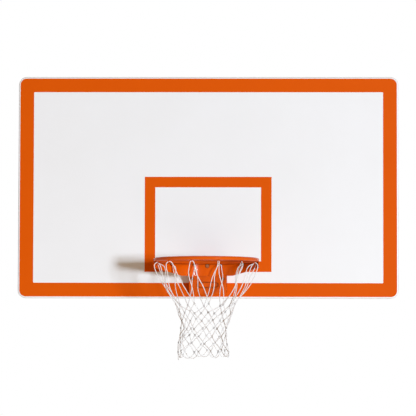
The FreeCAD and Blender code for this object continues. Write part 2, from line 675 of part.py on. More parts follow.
def make_pivot():
    """The pin through both cheeks, its nut, and the collared bushes pressed into the arms."""
    half = "sizes.bracket_width / 2"
    head = cylinder("pivot_pin_head", "sizes.pivot_head_diameter / 2", "sizes.pivot_head",
                    z="-sizes.pivot_head")
    stem = cylinder("pivot_pin_stem", "sizes.pivot_pin_diameter / 2",
                    "sizes.bracket_width + sizes.pivot_head + sizes.bolt_stub")
    pin = seat(fuse("pivot_pin", head, stem), f"-{half}", "places.pivot_y", "places.pivot_z", ALONG_X)
    nut = hex_nut("pivot_nut", "sizes.pivot_head_diameter", "sizes.pivot_head", "sizes.pivot_pin_diameter")
    seat(nut, half, "places.pivot_y", "places.pivot_z", ALONG_X)
    bushes = []
    for side, sign in MIRROR_SIDES:
        sleeve = cylinder(f"{side}_bush_sleeve", "places.bush_outer", "sizes.arm_thickness")
        collar = cylinder(f"{side}_bush_collar", "places.bush_outer + sizes.bush_collar",
                          "sizes.arm_gap - sizes.side_clearance", z="sizes.arm_thickness")
        bore = cylinder(f"{side}_bush_bore", "sizes.pivot_pin_diameter / 2 + sizes.running_clearance",
                        "sizes.arm_thickness + sizes.arm_gap")
        bush = cut(f"{side}_bush", fuse(f"{side}_bush_blank", sleeve, collar), bore)
        bushes.append(seat(bush, f"{sign} * places.arm_inner", "places.pivot_y", "places.pivot_z",
                           ALONG_X if sign > 0 else AGAINST_X))
    return [pin, nut] + bushes


def make_stop_pad():
    return box("stop_pad", "-places.arm_outer", "places.arm_outer", "places.arm_rear", "places.plate_front",
               "places.arm_top - sizes.pad_height", "places.arm_top")


def make_spring_seats():
    """The fixed shelf under the springs, the pegs that guide them, and the moving plate over them."""
    shelf = box("spring_shelf", "-places.cheek_inner", "places.cheek_inner", "places.shelf_front",
                "places.plate_front", "places.shelf_bottom", "places.shelf_top")
    pegs = [cylinder(f"{side}_guide", "sizes.guide_diameter / 2", "sizes.guide_height",
                     f"{sign} * sizes.spring_spread / 2", "places.spring_y", "places.shelf_top")
            for side, sign in MIRROR_SIDES]
    half_depth = "sizes.spring_plate_depth / 2"
    over = box("spring_plate", "-places.arm_inner", "places.arm_inner", f"places.spring_y - {half_depth}",
               f"places.spring_y + {half_depth}", "places.arm_bottom",
               "places.arm_bottom + sizes.spring_plate_thickness")
    return [shelf, group("spring_guides", pegs), over]


def arc_between(start, direction, end):
    """The arc that leaves start along direction and ends at end."""
    chord = end.sub(start)
    axis = direction.cross(chord)
    inward = axis.cross(direction).normalize()
    radius = chord.Length ** 2 / (2 * chord.dot(inward))
    centre = start + inward * radius
    middle = (start + end) * 0.5 - centre
    return Part.Arc(start, centre + middle.normalize() * radius, end)


def biarc(start, start_way, end, end_way):
    """Two arcs that join two points and their directions smoothly."""
    chord = end.sub(start)
    both = start_way + end_way
    open_share = 2 * (1 - start_way.dot(end_way))
    along = chord.dot(both)
    reach = (math.sqrt(along ** 2 + open_share * chord.dot(chord)) - along) / open_share
    join = (start + start_way * reach + end - end_way * reach) * 0.5
    return [arc_between(start, start_way, join), arc_between(end, end_way * -1, join)]


def make_spring(side, sign):
    """A return spring: one tube round a helix, in quarter turns."""
    wire = size("spring_wire")
    radius = (size("spring_outer") - wire) / 2
    turns = int(size("spring_turns"))
    low = place_of("shelf_top") + size("spring_seat_gap") + wire / 2
    high = place_of("arm_bottom") - size("spring_seat_gap") - wire / 2
    pitch = (high - low) / turns
    foot = Vector(sign * size("spring_spread") / 2, place_of("spring_y"), low)

    def on_helix(turn):
        angle = 2 * math.pi * turn
        point = foot + Vector(radius * math.cos(angle), radius * math.sin(angle), pitch * turn)
        way = Vector(-2 * math.pi * radius * math.sin(angle), 2 * math.pi * radius * math.cos(angle), pitch)
        return point, way.normalize()

    edges = []
    for quarter in range(turns * QUARTERS):
        start, start_way = on_helix(quarter / QUARTERS)
        end, end_way = on_helix((quarter + 1) / QUARTERS)
        first, second = biarc(start, start_way, end, end_way)
        edges.append(first.toShape())
        edges.append(Part.Arc(second.EndPoint, second.value((second.FirstParameter + second.LastParameter) / 2),
                              second.StartPoint).toShape())
    path = Part.Wire(edges)
    start, start_way = on_helix(0)
    section = Part.Wire([Part.makeCircle(wire / 2, start, start_way)])
    spring = doc.addObject("Part::Feature", f"{side}_spring")
    spring.Shape = path.makePipeShell([section], True, False)
    print(f"{side} spring: least gap between turns {pitch - wire:.2f} mm")
    return spring


# The rim, which tips down on the pivot pin
def ring_cylinder(label, radius):
    """A tall cylinder about the axis of the ring, for cutting pieces to the ring's curve."""
    reach = "2 * sizes.brace_drop"
    return cylinder(label, radius, f"2 * {reach}", "0", "places.ring_y", f"places.ring_level - {reach}")


def make_arm(side, sign):
    """A side arm: round at the pivot, slim over the cover, deep behind the brace."""
    body = new_body(f"{side}_arm_blank")
    start = "places.arm_inner" if sign > 0 else "-places.arm_outer"
    outline = new_sketch(body, "YZ_Plane", start)
    polygon(outline, [("places.arm_rear", "places.arm_top"), ("places.arm_rear", "places.pivot_z"),
                      ("places.pivot_y", "places.pivot_z"), ("places.pivot_y", "places.arm_bottom"),
                      ("places.nose_y", "places.arm_bottom"), ("places.nose_y", "places.nose_bottom"),
                      ("places.ring_y", "places.nose_bottom"), ("places.ring_y", "places.arm_top")])
    pad(body, outline, "sizes.arm_thickness")
    boss = new_sketch(body, "YZ_Plane", start)
    circle(boss, "places.pivot_y", "places.pivot_z", "sizes.boss_radius")
    pad(body, boss, "sizes.arm_thickness")
    bore = new_sketch(body, "YZ_Plane", f"{sign} * places.arm_outer")
    circle(bore, "places.pivot_y", "places.pivot_z", "places.bush_outer")
    pocket(body, bore, "sizes.arm_thickness", along_normal=sign < 0)
    return cut(f"{side}_arm", body, ring_cylinder(f"{side}_arm_curve", "places.brace_outer + sizes.weld_gap"))


def make_top_plate():
    """The flat plate on top of the arms, from the stop pad to the curve of the ring."""
    blank = box("carrier_top_plate_blank", "-places.arm_outer", "places.arm_outer", "places.ring_y",
                "places.arm_rear", "places.arm_top", "places.arm_top + sizes.top_plate_thickness")
    curve = ring_cylinder("carrier_top_plate_curve", "places.ring_radius + sizes.ring_rod / 2 + sizes.weld_gap")
    return cut("carrier_top_plate", blank, curve)


def make_front_web():
    """The plate between the arms that the back of the brace is bolted to."""
    body = plate("front_web", "places.web_back", "sizes.web_thickness", "-places.arm_inner", "places.arm_inner",
                 "places.nose_bottom", "places.arm_top")
    hole = new_sketch(body, "XZ_Plane", "-places.web_back")
    circle(hole, "0", "places.ring_level - sizes.brace_bolt_drop", "sizes.brace_bolt / 2 + sizes.screw_play")
    pocket(body, hole, along_normal=True)
    return body


def make_ring():
    ring = doc.addObject("Part::Torus", "rim_ring")
    bind(ring, {"Radius1": "places.ring_radius", "Radius2": "sizes.ring_rod / 2"})
    return seat(ring, "0", "places.ring_y", "places.ring_level")


def lowest_edges_of_ends(shape):
    """Names of the lower edges of the flat faces that stand upright, the two ends of the brace."""
    names = []
    for face in shape.Faces:
        if isinstance(face.Surface, Part.Plane) and abs(face.normalAt(0, 0).z) < NEAR:
            lowest = min(face.Edges, key=lambda edge: edge.CenterOfMass.z)
            names += [f"Edge{number}" for number, edge in enumerate(shape.Edges, start=1) if edge.isSame(lowest)]
    return names


def make_brace():
    """The curved plate under the back half of the ring, shallower and rounded towards its ends."""
    body = new_body("rim_brace")
    section = new_sketch(body, "YZ_Plane")
    rectangle(section, "places.brace_inner", "places.brace_outer", "-sizes.brace_drop", "-places.brace_seat")
    sweep = body.newObject("PartDesign::Revolution", "rim_brace_sweep")
    sweep.Profile = section
    sweep.ReferenceAxis = (section, ["V_Axis"])
    sweep.Midplane = True
    sweep.setExpression("Angle", "sizes.brace_sweep_angle")
    doc.recompute()
    trim = new_sketch(body, "XZ_Plane", "places.brace_outer")
    flat, end = "sizes.brace_flat / 2", "places.brace_outer + sizes.brace_thickness"
    deep = "-sizes.brace_drop - sizes.brace_thickness"
    for sign in ("-", ""):
        polygon(trim, [(f"{sign}{flat}", "-sizes.brace_drop"), (f"{sign}({end})", "-sizes.brace_end_drop"),
                       (f"{sign}({end})", deep), (f"{sign}{flat}", deep)])
    pocket(body, trim)
    corners = lowest_edges_of_ends(body.Tip.Shape)
    fillet(body, body.Tip, corners, "sizes.brace_end_radius")
    hole = new_sketch(body, "XZ_Plane")
    circle(hole, "0", "-sizes.brace_bolt_drop", "sizes.brace_bolt / 2 + sizes.screw_play")
    pocket(body, hole)
    return seat(body, "0", "places.ring_y", "places.ring_level")


def make_brace_fasteners():
    """The bolt through the brace and the front web; its head bears on the curve of the brace."""
    under_head = "sqrt(places.brace_inner^2 - (sizes.brace_bolt_across / 2)^2) - sizes.weld_gap"
    level = "places.ring_level - sizes.brace_bolt_drop"
    through = f"places.web_back - places.ring_y - ({under_head}) + sizes.brace_nut_height + sizes.bolt_stub"
    bolt = hex_bolt("brace_bolt", "sizes.brace_bolt_across", "sizes.brace_bolt_head", "sizes.brace_bolt",
                    through)
    seat(bolt, "0", f"places.ring_y + {under_head}", level, ALONG_Y)
    nut = hex_nut("brace_nut", "sizes.brace_bolt_across", "sizes.brace_nut_height", "sizes.brace_bolt")
    return [bolt, seat(nut, "0", "places.web_back", level, ALONG_Y)]


def ring_axis_turn(shape, index):
    """A copy of a shape turned about the ring's axis to one of the hooks."""
    turned = shape.copy()
    step = FULL_TURN / NET_LOOPS
    turned.rotate(Vector(), Vector(0, 0, 1), step * (index + 0.5))
    return turned


def hang_on_ring(label, shape):
    """A piece made about the ring's own axis and level, put where the ring is."""
    thing = doc.addObject("Part::Feature", label)
    thing.Shape = shape
    return seat(thing, "0", "places.ring_y", "places.ring_level")


def hook_run():
    """Middle of a hook's bottom wire, out from the axis of the ring."""
    return place_of("ring_radius") + size("hook_leg_offset") - size("hook_reach") / 2


def make_hooks():
    """Wire hooks under the ring: down, inwards, and up to an open tip that the cord slips over."""
    outer = place_of("ring_radius") + size("hook_leg_offset")
    inner = outer - size("hook_reach")
    bend, drop = size("hook_bend"), size("hook_drop")
    top = -size("ring_rod") / 2 - size("weld_gap")
    shoulder = bend * (1 - math.sqrt(0.5))
    points = [Vector(outer, 0, top), Vector(outer, 0, bend - drop), Vector(outer - bend, 0, -drop),
              Vector(inner + bend, 0, -drop), Vector(inner, 0, bend - drop), Vector(inner, 0, -size("hook_tip"))]
    outer_mid = Vector(outer - shoulder, 0, shoulder - drop)
    inner_mid = Vector(inner + shoulder, 0, shoulder - drop)
    path = Part.Wire([Part.LineSegment(points[0], points[1]).toShape(),
                      Part.Arc(points[1], outer_mid, points[2]).toShape(),
                      Part.LineSegment(points[2], points[3]).toShape(),
                      Part.Arc(points[3], inner_mid, points[4]).toShape(),
                      Part.LineSegment(points[4], points[5]).toShape()])
    section = Part.Wire([Part.makeCircle(size("hook_wire") / 2, points[0], Vector(0, 0, -1))])
    hook = path.makePipeShell([section], True, False)
    return hang_on_ring("net_hooks", Part.makeCompound([ring_axis_turn(hook, i) for i in range(NET_LOOPS)]))


# The net
def knot(row, half_steps):
    """Centre of a knot, by its row from the top and its place round the net in half steps."""
    angle = math.pi * half_steps / NET_LOOPS
    radius = NET_ROW_SHARES[row] * size("ring_inner_diameter") / 2
    height = -size("hook_drop") - size("net_loop_drop") - row * size("net_row")
    return Vector(radius * math.cos(angle), radius * math.sin(angle), height)


def beside_knot(row, half_steps, side, up):
    """Where a loop enters a knot: sideways from its centre, and above or below it."""
    angle = math.pi * half_steps / NET_LOOPS
    round_the_net = Vector(-math.sin(angle), math.cos(angle), 0)
    spread = size("knot_spread")
    return knot(row, half_steps) + round_the_net * (side * spread) + Vector(0, 0, up * spread)


def straight_cord(start, end):
    """A cord between two knots, which stops short of their centres."""
    way = end.sub(start).normalize()
    inset = size("knot_inset")
    return Part.makeCylinder(size("cord_diameter") / 2, start.distanceToPoint(end) - 2 * inset,
                             start + way * inset, way)


def cord_along(edges, start, way):
    section = Part.Wire([Part.makeCircle(size("cord_diameter") / 2, start, way)])
    return Part.Wire([edge.toShape() for edge in edges]).makePipeShell([section], True, False)


def top_loop():
    """A loop from a first knot up over its hook and down to the next knot: two runs and an arc."""
    radius = size("net_loop_radius")
    left, right = beside_knot(0, -1, 1, 1), beside_knot(0, 1, -1, 1)
    foot = (left + right) * 0.5
    slope = math.atan2(hook_run() - foot.x, size("net_loop_drop"))
    centre = Vector(hook_run() - radius * math.sin(slope), 0, -size("hook_drop"))
    down = foot.sub(centre).normalize()
    across = Vector(0, 1, 0)
    reach = right.sub(centre)
    spread, fall = reach.dot(across), reach.dot(down)
    length = math.hypot(spread, fall)
    angle = math.atan2(fall, spread) - math.acos(radius / length)
    side, depth = radius * math.cos(angle), radius * math.sin(angle)
    right_touch = centre + across * side + down * depth
    left_touch = centre - across * side + down * depth
    crown = centre - down * radius
    edges = [Part.LineSegment(left, left_touch), Part.Arc(left_touch, crown, right_touch),
             Part.LineSegment(right_touch, right)]
    return cord_along(edges, left, left_touch.sub(left))


def tail_loop(last):
    """A loop that hangs between two knots of the last row."""
    here = 1 - last % 2
    left, right = beside_knot(last, here - 2, 1, -1), beside_knot(last, here, -1, -1)
    angle = math.pi * (here - 1) / NET_LOOPS
    radius = NET_TAIL_SHARE * size("ring_inner_diameter") / 2
    lowest = Vector(radius * math.cos(angle), radius * math.sin(angle), knot(last, here).z - size("net_tail"))
    arc = Part.Arc(left, lowest, right)
    return cord_along([arc], left, arc.tangent(arc.FirstParameter)[0])


def make_net():
    """Top loops over the hooks, rows of diamonds knotted at their corners, and loops at the bottom."""
    rows = len(NET_ROW_SHARES)
    cell = [top_loop(), tail_loop(rows - 1)]
    for row in range(rows):
        here = 1 - row % 2
        cell.append(Part.makeSphere(size("knot_diameter") / 2, knot(row, here)))
        if row + 1 < rows:
            cell += [straight_cord(knot(row, here), knot(row + 1, here + way)) for way in (-1, 1)]
    pieces = [ring_axis_turn(piece, index) for index in range(NET_LOOPS) for piece in cell]
    net = hang_on_ring("net", pieces[0].multiFuse(pieces[1:]))
    print(f"net: {len(net.Shape.Solids)} solid, {len(net.Shape.Faces)} faces")
    return net


def make_all():
    nodes = [make_face_panel()] + make_markings()
    for side, sign in MIRROR_SIDES:
        nodes += [make_upright(side, sign), make_cheek(side, sign), make_arm(side, sign), make_spring(side, sign)]
    nodes += [make_cross_channel("upper_cross_channel", "sizes.mount_spacing_tall / 2"),
              make_cross_channel("lower_cross_channel", "places.lower_cross"),
              make_backing_plate(), make_bracket_back_plate(), make_front_cover(), make_stop_pad(),
              make_top_plate(), make_front_web(), make_ring(), make_brace(), make_hooks(), make_net()]
    nodes += make_cover_fasteners() + make_goal_fasteners() + make_pivot() + make_spring_seats()
    nodes += make_brace_fasteners()
    return nodes


sub_parts = make_all()
doc.recompute()
for thing in doc.Objects:
    if "Invalid" in thing.State or "Error" in thing.State:
        raise RuntimeError(f"{thing.Label} failed: {thing.State}")
for node in sub_parts:
    if node.Shape.isNull() or not node.Shape.isValid() or not node.Shape.Solids:
        raise RuntimeError(f"{node.Label} has no valid solid")
os.makedirs("parts", exist_ok=True)
for node in sub_parts:
    node.Shape.exportStep(f"parts/{node.Label}.step")
print(f"{len(sub_parts)} sub-parts written")
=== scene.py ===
# %% [markdown]
# # A basketball backboard with a sprung ring and a knotted net
#
# The solids of the backboard come ready made, in metres, and this lesson dresses them: a camera and studio
# light first, then the net, the springs, the welds and threads, and at last the finishes.

# %% Load the solids
import json
import math
import random

import bmesh
import bpy
from mathutils import Matrix, Vector
from mathutils.kdtree import KDTree


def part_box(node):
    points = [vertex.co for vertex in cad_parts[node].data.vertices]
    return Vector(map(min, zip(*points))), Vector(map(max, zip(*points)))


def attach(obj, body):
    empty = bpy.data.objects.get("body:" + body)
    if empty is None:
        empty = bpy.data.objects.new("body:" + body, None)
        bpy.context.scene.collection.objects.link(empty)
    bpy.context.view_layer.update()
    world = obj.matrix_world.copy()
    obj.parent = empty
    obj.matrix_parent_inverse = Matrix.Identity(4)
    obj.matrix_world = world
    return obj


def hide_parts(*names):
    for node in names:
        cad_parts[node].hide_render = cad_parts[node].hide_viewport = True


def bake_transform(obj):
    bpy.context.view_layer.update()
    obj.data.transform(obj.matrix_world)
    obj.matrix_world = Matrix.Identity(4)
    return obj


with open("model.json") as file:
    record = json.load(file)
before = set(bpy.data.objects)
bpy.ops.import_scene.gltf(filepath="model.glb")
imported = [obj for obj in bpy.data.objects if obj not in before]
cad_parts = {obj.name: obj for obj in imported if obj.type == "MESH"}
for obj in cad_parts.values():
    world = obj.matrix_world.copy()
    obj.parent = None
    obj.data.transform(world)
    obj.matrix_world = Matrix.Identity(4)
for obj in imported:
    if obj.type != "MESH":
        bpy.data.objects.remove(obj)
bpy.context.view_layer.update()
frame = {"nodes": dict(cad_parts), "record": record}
solids = frame["nodes"]

# %% [markdown]
# ## The camera
#
# The photograph was taken from about thirteen metres away with a long lens, half a metre below the ring and a
# little to the right. A camera can be aimed with a Track To constraint, but measured angles are exact, so its
# axes are written straight into its matrix: right, up, and backwards, which is where a Blender camera's own Z
# points.

# %% Set up the camera
PHOTO_PIXELS = 416
FOCAL_PIXELS = 2701
SENSOR_MILLIMETRES = 36
CAMERA_PLACE = Vector((0.262, -13.0, -0.878))
YAW_PITCH_ROLL = (-1.161, 3.439, 0.141)
FAR_CLIP = 100


def link_object(name, data):
    """A new object in the scene, for a camera, a lamp, a mesh or a curve."""
    made = bpy.data.objects.new(name, data)
    bpy.context.collection.objects.link(made)
    return made


yaw, pitch, roll = (math.radians(angle) for angle in YAW_PITCH_ROLL)
ahead = Vector((math.sin(yaw) * math.cos(pitch), math.cos(yaw) * math.cos(pitch), math.sin(pitch)))
level_right = Vector((math.cos(yaw), -math.sin(yaw), 0))
level_up = level_right.cross(ahead)
camera_right = level_right * math.cos(roll) + level_up * math.sin(roll)
camera_up = level_up * math.cos(roll) - level_right * math.sin(roll)
lens = bpy.data.cameras.new("photo_lens")
lens.sensor_width = SENSOR_MILLIMETRES
lens.lens = FOCAL_PIXELS * SENSOR_MILLIMETRES / PHOTO_PIXELS
lens.clip_end = FAR_CLIP
camera = link_object("photo_camera", lens)
axes = Matrix((camera_right, camera_up, -ahead)).transposed()
camera.matrix_world = Matrix.Translation(CAMERA_PLACE) @ axes.to_4x4()
bpy.context.scene.camera = camera
print("lens", round(lens.lens, 1), "mm, looking along", [round(part, 3) for part in ahead])

# %% [markdown]
# ## Colours and nodes
#
# A colour picker shows sRGB, while a shader works with linear light, so one function converts. A second small
# function adds a node, sets its properties and sockets, and links a socket wherever it is given another
# node's output. A third starts an empty finish, and a fourth turns the size of a blotch into the scale of a
# noise, so that every pattern below is written in millimetres of the real surface.

# %% Helpers for finishes
# How many make a metre.
MILLIMETRES = 1000


def linear(code):
    """An sRGB hex code as a linear colour with alpha, by the two branches of the sRGB curve."""
    parts = [int(code[index:index + 2], 16) / 255 for index in (1, 3, 5)]
    return [part / 12.92 if part <= 0.04045 else ((part + 0.055) / 1.055) ** 2.4 for part in parts] + [1]


def add_node(tree, kind, sockets=None, **settings):
    """One node with its settings; a socket takes a value, or a link from another socket."""
    node = tree.nodes.new(kind)
    for name, setting in settings.items():
        setattr(node, name, setting)
    for name, given in (sockets or {}).items():
        if isinstance(given, bpy.types.NodeSocket):
            tree.links.new(given, node.inputs[name])
        else:
            node.inputs[name].default_value = given
    return node


def new_finish(name):
    """A material with an empty node tree."""
    finish = bpy.data.materials.new(name)
    finish.use_nodes = True
    finish.node_tree.nodes.clear()
    return finish, finish.node_tree


def per_millimetre(size):
    """Scale of a noise whose blotches are about this many millimetres across."""
    return MILLIMETRES / size


print("middle grey #808080 is", round(linear("#808080")[0], 3), "in linear light")

# %% [markdown]
# ## The white surround
#
# The photograph has a white surround, a cool soft lamp far off to the right at about the height of the ring,
# warm light that a floor throws back up, and a warm fill everywhere else. Together they make a neutral white,
# and the warm ones alone tint the ring's shadow brown. A world as bright as the surround would flood the
# board with light. The surround is only what the camera and reflections see, so the Light Path node tells
# those rays from the ones that carry light, and only they get the pure white.

# %% White surround and warm fill
SURROUND_FILL = 0.28
WARM_FILL = (1.0, 0.677, 0.40, 1)
WHITE = (1, 1, 1, 1)


def seen_directly(tree):
    """A factor of 1 for camera, reflected and refracted rays, and 0 for the rays that carry light."""
    path = add_node(tree, "ShaderNodeLightPath")
    seen = path.outputs["Is Camera Ray"]
    for kind in ("Is Glossy Ray", "Is Transmission Ray"):
        either = add_node(tree, "ShaderNodeMath", {0: seen, 1: path.outputs[kind]}, operation="MAXIMUM")
        seen = either.outputs[0]
    return seen


world = bpy.data.worlds.new("studio")
bpy.context.scene.world = world
world.use_nodes = True
tree = world.node_tree
tree.nodes.clear()
fill = add_node(tree, "ShaderNodeBackground", {"Color": WARM_FILL, "Strength": SURROUND_FILL})
white = add_node(tree, "ShaderNodeBackground", {"Color": WHITE, "Strength": 1})
surround = add_node(tree, "ShaderNodeMixShader",
                    {0: seen_directly(tree), 1: fill.outputs[0], 2: white.outputs[0]})
add_node(tree, "ShaderNodeOutputWorld", {"Surface": surround.outputs[0]})
print("surround is white, and fills with", SURROUND_FILL)

# %% [markdown]
# ## The floor
#
# The floor of a court lies ten feet under the ring. It has to look as pale as the surround and still carry
# the soft shadow of the board. Pure emission would lose the shadow, so the floor keeps its own matt shading
# and only glows a little on top of that, for the rays that see it directly.

# %% Finish of the floor
FLOOR_GLOW = 0.62
floor_finish, tree = new_finish("pale_floor")
paper = add_node(tree, "ShaderNodeBsdfDiffuse", {"Color": linear("#EFEFEF"), "Roughness": 1})
glow = add_node(tree, "ShaderNodeEmission", {"Color": WHITE, "Strength": FLOOR_GLOW})
glowing = add_node(tree, "ShaderNodeAddShader", {0: paper.outputs[0], 1: glow.outputs[0]})
pale = add_node(tree, "ShaderNodeMixShader",
                {0: seen_directly(tree), 1: paper.outputs[0], 2: glowing.outputs[0]})
add_node(tree, "ShaderNodeOutputMaterial", {"Surface": pale.outputs[0]})
print("floor glows with", FLOOR_GLOW)

# %% Lay the floor
RING_HEIGHT = 3.048
FLOOR_REACH = 4
FLOOR_CELLS = 4


def corners(node, unit=1):
    """The lowest and the highest corner of a solid, in metres, or with the unit MILLIMETRES in those."""
    return [unit * Vector(corner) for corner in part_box(node)]


ring_low, ring_high = corners("rim_ring")
ring_centre = (ring_low + ring_high) / 2
ROD = ring_high.z - ring_low.z
RING_RADIUS = (ring_high.x - ring_low.x - ROD) / 2
floor_mesh = bpy.data.meshes.new("floor")
sheet = bmesh.new()
bmesh.ops.create_grid(sheet, x_segments=FLOOR_CELLS, y_segments=FLOOR_CELLS, size=FLOOR_REACH,
                      matrix=Matrix.Translation((0, ring_centre.y, ring_centre.z - RING_HEIGHT)))
sheet.to_mesh(floor_mesh)
sheet.free()
floor = link_object("floor", floor_mesh)
floor_mesh.materials.append(floor_finish)
print("ring radius", round(MILLIMETRES * RING_RADIUS, 1), "mm, floor", RING_HEIGHT, "m below it")

# %% [markdown]
# ## The lamps
#
# Three square softboxes stand in for the studio. A point lamp would throw hard shadows. An area lamp softens
# them by its size, and less so from far away, which gives the shadow on the board the edge it has in the
# photograph. The second softbox is the light that comes back from the floor, and the third, high behind the
# board, shows its back and hardly reaches the front.

# %% Set up the lamps
COOL_LAMP = (0.775, 0.88, 1.0)
WARM_FLOOR = (1.0, 0.82, 0.60)
# Name, place, aim and side in metres, power in watts, and colour.
LAMPS = (("key_softbox", (8.25, -18.2, -0.62), (0, 0, -0.2), 1.9, 3550, COOL_LAMP),
         ("floor_bounce", (0.2, -1.7, -3.35), (0, -0.4, -0.4), 2.4, 25, WARM_FLOOR),
         ("rear_softbox", (-5.0, 8.5, 4.5), (0, 0, 0), 2.4, 720, COOL_LAMP))
for name, place, aim, side, watts, colour in LAMPS:
    lamp = bpy.data.lights.new(name, "AREA")
    lamp.shape = "SQUARE"
    lamp.color = colour
    lamp.size = side
    lamp.energy = watts
    stand = link_object(name, lamp)
    stand.location = place
    stand.rotation_euler = (Vector(aim) - Vector(place)).to_track_quat("-Z", "Y").to_euler()
    print(name, watts, "W")

# %% [markdown]
# ## The net: where its knots are
#
# The net hangs from twelve hooks. Each hook carries a loop whose two legs run down to the first of seven rows
# of knots. Between the rows are diamonds, which narrow to a waist and flare out a little, and short loops
# close the bottom. A real net never hangs quite evenly. This one is twisted by a few degrees, so that its
# back shows through its front, it leans a little to the left, and each knot is moved a few millimetres. Cloth
# simulation could give that too, but a fixed seed for each knot gives the same net on every run.

# %% Knots of the net
HOOKS = 12
HALF_STEPS = 2 * HOOKS
HOOK_INSET, HOOK_DROP = 0.00255, 0.018
HOOK_RADIUS = RING_RADIUS - HOOK_INSET
FIRST_ROW_DROP, ROW_DROP, TAIL_DROP = 0.209, 0.036, 0.026
ROW_SHARES = (0.615, 0.540, 0.492, 0.470, 0.470, 0.488, 0.520)
ROW_TWIST = (6, 8, 9.5, 10.5, 11, 11, 11)
LAST_ROW = len(ROW_SHARES) - 1
UNEVEN = 0.0065
HANGS_LEFT = 0.0031


def round_ring(radius, half_step, drop, twist=0):
    """A point by its radius from the ring's axis, half steps between hooks, drop below the ring, twist."""
    angle = math.tau * half_step / HALF_STEPS + math.radians(twist)
    return ring_centre + Vector((radius * math.cos(angle), radius * math.sin(angle), -drop))


knots = {}
for row, share in enumerate(ROW_SHARES):
    radius = share * (RING_RADIUS - ROD / 2)
    for half_step in range(row % 2, HALF_STEPS, 2):
        chance = random.Random(f"knot {row} {half_step}")
        wander = Vector([chance.uniform(-UNEVEN, UNEVEN) for _ in range(3)])
        lean = Vector((-HANGS_LEFT * row, 0, 0))
        even = round_ring(radius, half_step, FIRST_ROW_DROP + row * ROW_DROP, ROW_TWIST[row])
        knots[row, half_step] = even + lean + wander
print(len(knots), "knots in", len(ROW_SHARES), "rows")

# %% [markdown]
# ## The net: twisted cord
#
# The cord is laid from three strands. Three thin tubes wound round each other would show that, but cost three
# times the faces, so the cord's section is drawn as a three-lobed outline instead and swept along each run.
# The tilt of a curve's points turns the section on its way, and the lobes come out as twisted strands. Their
# lay is a little longer than on a real cord of this size, so that the twist still shows from some way off.

# %% Section of the cord
CORD_RADIUS = 0.0020
STRANDS = 3
POINTS_PER_STRAND = 3
GROOVE_SHARE = 0.34


def cord_outline(name):
    """A closed outline with a rounded lobe for each strand, for sweeping along a curve."""
    outline = bpy.data.curves.new(name, "CURVE")
    outline.dimensions = "2D"
    spline = outline.splines.new("POLY")
    count = STRANDS * POINTS_PER_STRAND
    spline.points.add(count - 1)
    for index, point in enumerate(spline.points):
        angle = math.tau * index / count
        in_groove = index % POINTS_PER_STRAND == 0
        reach = CORD_RADIUS * (1 - GROOVE_SHARE * in_groove)
        point.co = (reach * math.cos(angle), reach * math.sin(angle), 0, 1)
    spline.use_cyclic_u = True
    return link_object(name, outline)


cord_section = cord_outline("cord_section")
cords = bpy.data.curves.new("net_cords", "CURVE")
cords.dimensions = "3D"
cords.bevel_mode = "OBJECT"
cords.bevel_object = cord_section
cords.use_fill_caps = True
print("cord of", STRANDS, "strands,", MILLIMETRES * 2 * CORD_RADIUS, "mm thick")

# %% Sweep the cord along a line
LAY_LENGTH = 0.018
RINGS_PER_LAY = 8
FEWEST_RINGS = 2


def lay_cord(points, thickness=1.0, closed=False, rings=None):
    """Sweep the twisted cord along a smooth line near these points, and give the length along them."""
    spline = cords.splines.new("NURBS")
    spline.points.add(len(points) - 1)
    length = sum((after - before).length for before, after in zip(points, points[1:]))
    lays = length / LAY_LENGTH
    for index, (point, place) in enumerate(zip(spline.points, points)):
        point.co = (*place, 1)
        point.radius = thickness
        point.tilt = 0 if closed else math.tau * lays * index / (len(points) - 1)
    spline.order_u = 3
    spline.use_endpoint_u = not closed
    spline.use_cyclic_u = closed
    spans = len(points) if closed else len(points) - 1
    spline.resolution_u = rings or max(FEWEST_RINGS, math.ceil(lays * RINGS_PER_LAY / spans))
    return length


print("one turn of the strands in", MILLIMETRES * LAY_LENGTH, "mm")

# %% [markdown]
# ## The net: loops over the hooks
#
# Nothing pulls on the net, so its legs are slack: they leave the hook almost straight down, swing in to the
# first knots, and keep some of the bends they were packed with. Two extra points on each leg, moved outwards
# and to a side, give that. Over the hook the stiff cord is an arch that rests on the wire and opens across
# it, one leg outwards and one inwards. Behind, where the brace is, both hang inside.

# %% Hang the loops
LEG_SAGS = ((0.36, 0.021), (0.72, 0.009))
BENDS_OUT, BENDS_ALONG = 0.008, 0.013
LOOP_SPREAD = 0.019
ARCH_FOOT_ALONG, ARCH_FOOT_DROP = 0.0062, 0.011
ARCH_TOP_SHARE, ARCH_TOP_ALONG, ARCH_TOP_RISE = 0.22, 0.0056, 0.0046
UP = Vector((0, 0, 1))


def away_from_axis(place):
    """The level direction from the ring's axis to a place."""
    return (place - ring_centre).to_2d().normalized().to_3d()


def slack_leg(knot, end, outwards, along, seed):
    """A leg from its knot up to the loop over the hook, with its sag and leftover bends, without the end."""
    chance = random.Random(seed)
    points = [knot]
    for share, sag in LEG_SAGS:
        aside = outwards * (sag + chance.uniform(-BENDS_OUT, BENDS_OUT))
        aside += along * chance.uniform(-BENDS_ALONG, BENDS_ALONG)
        points.append(knot.lerp(end, share) + aside)
    return points


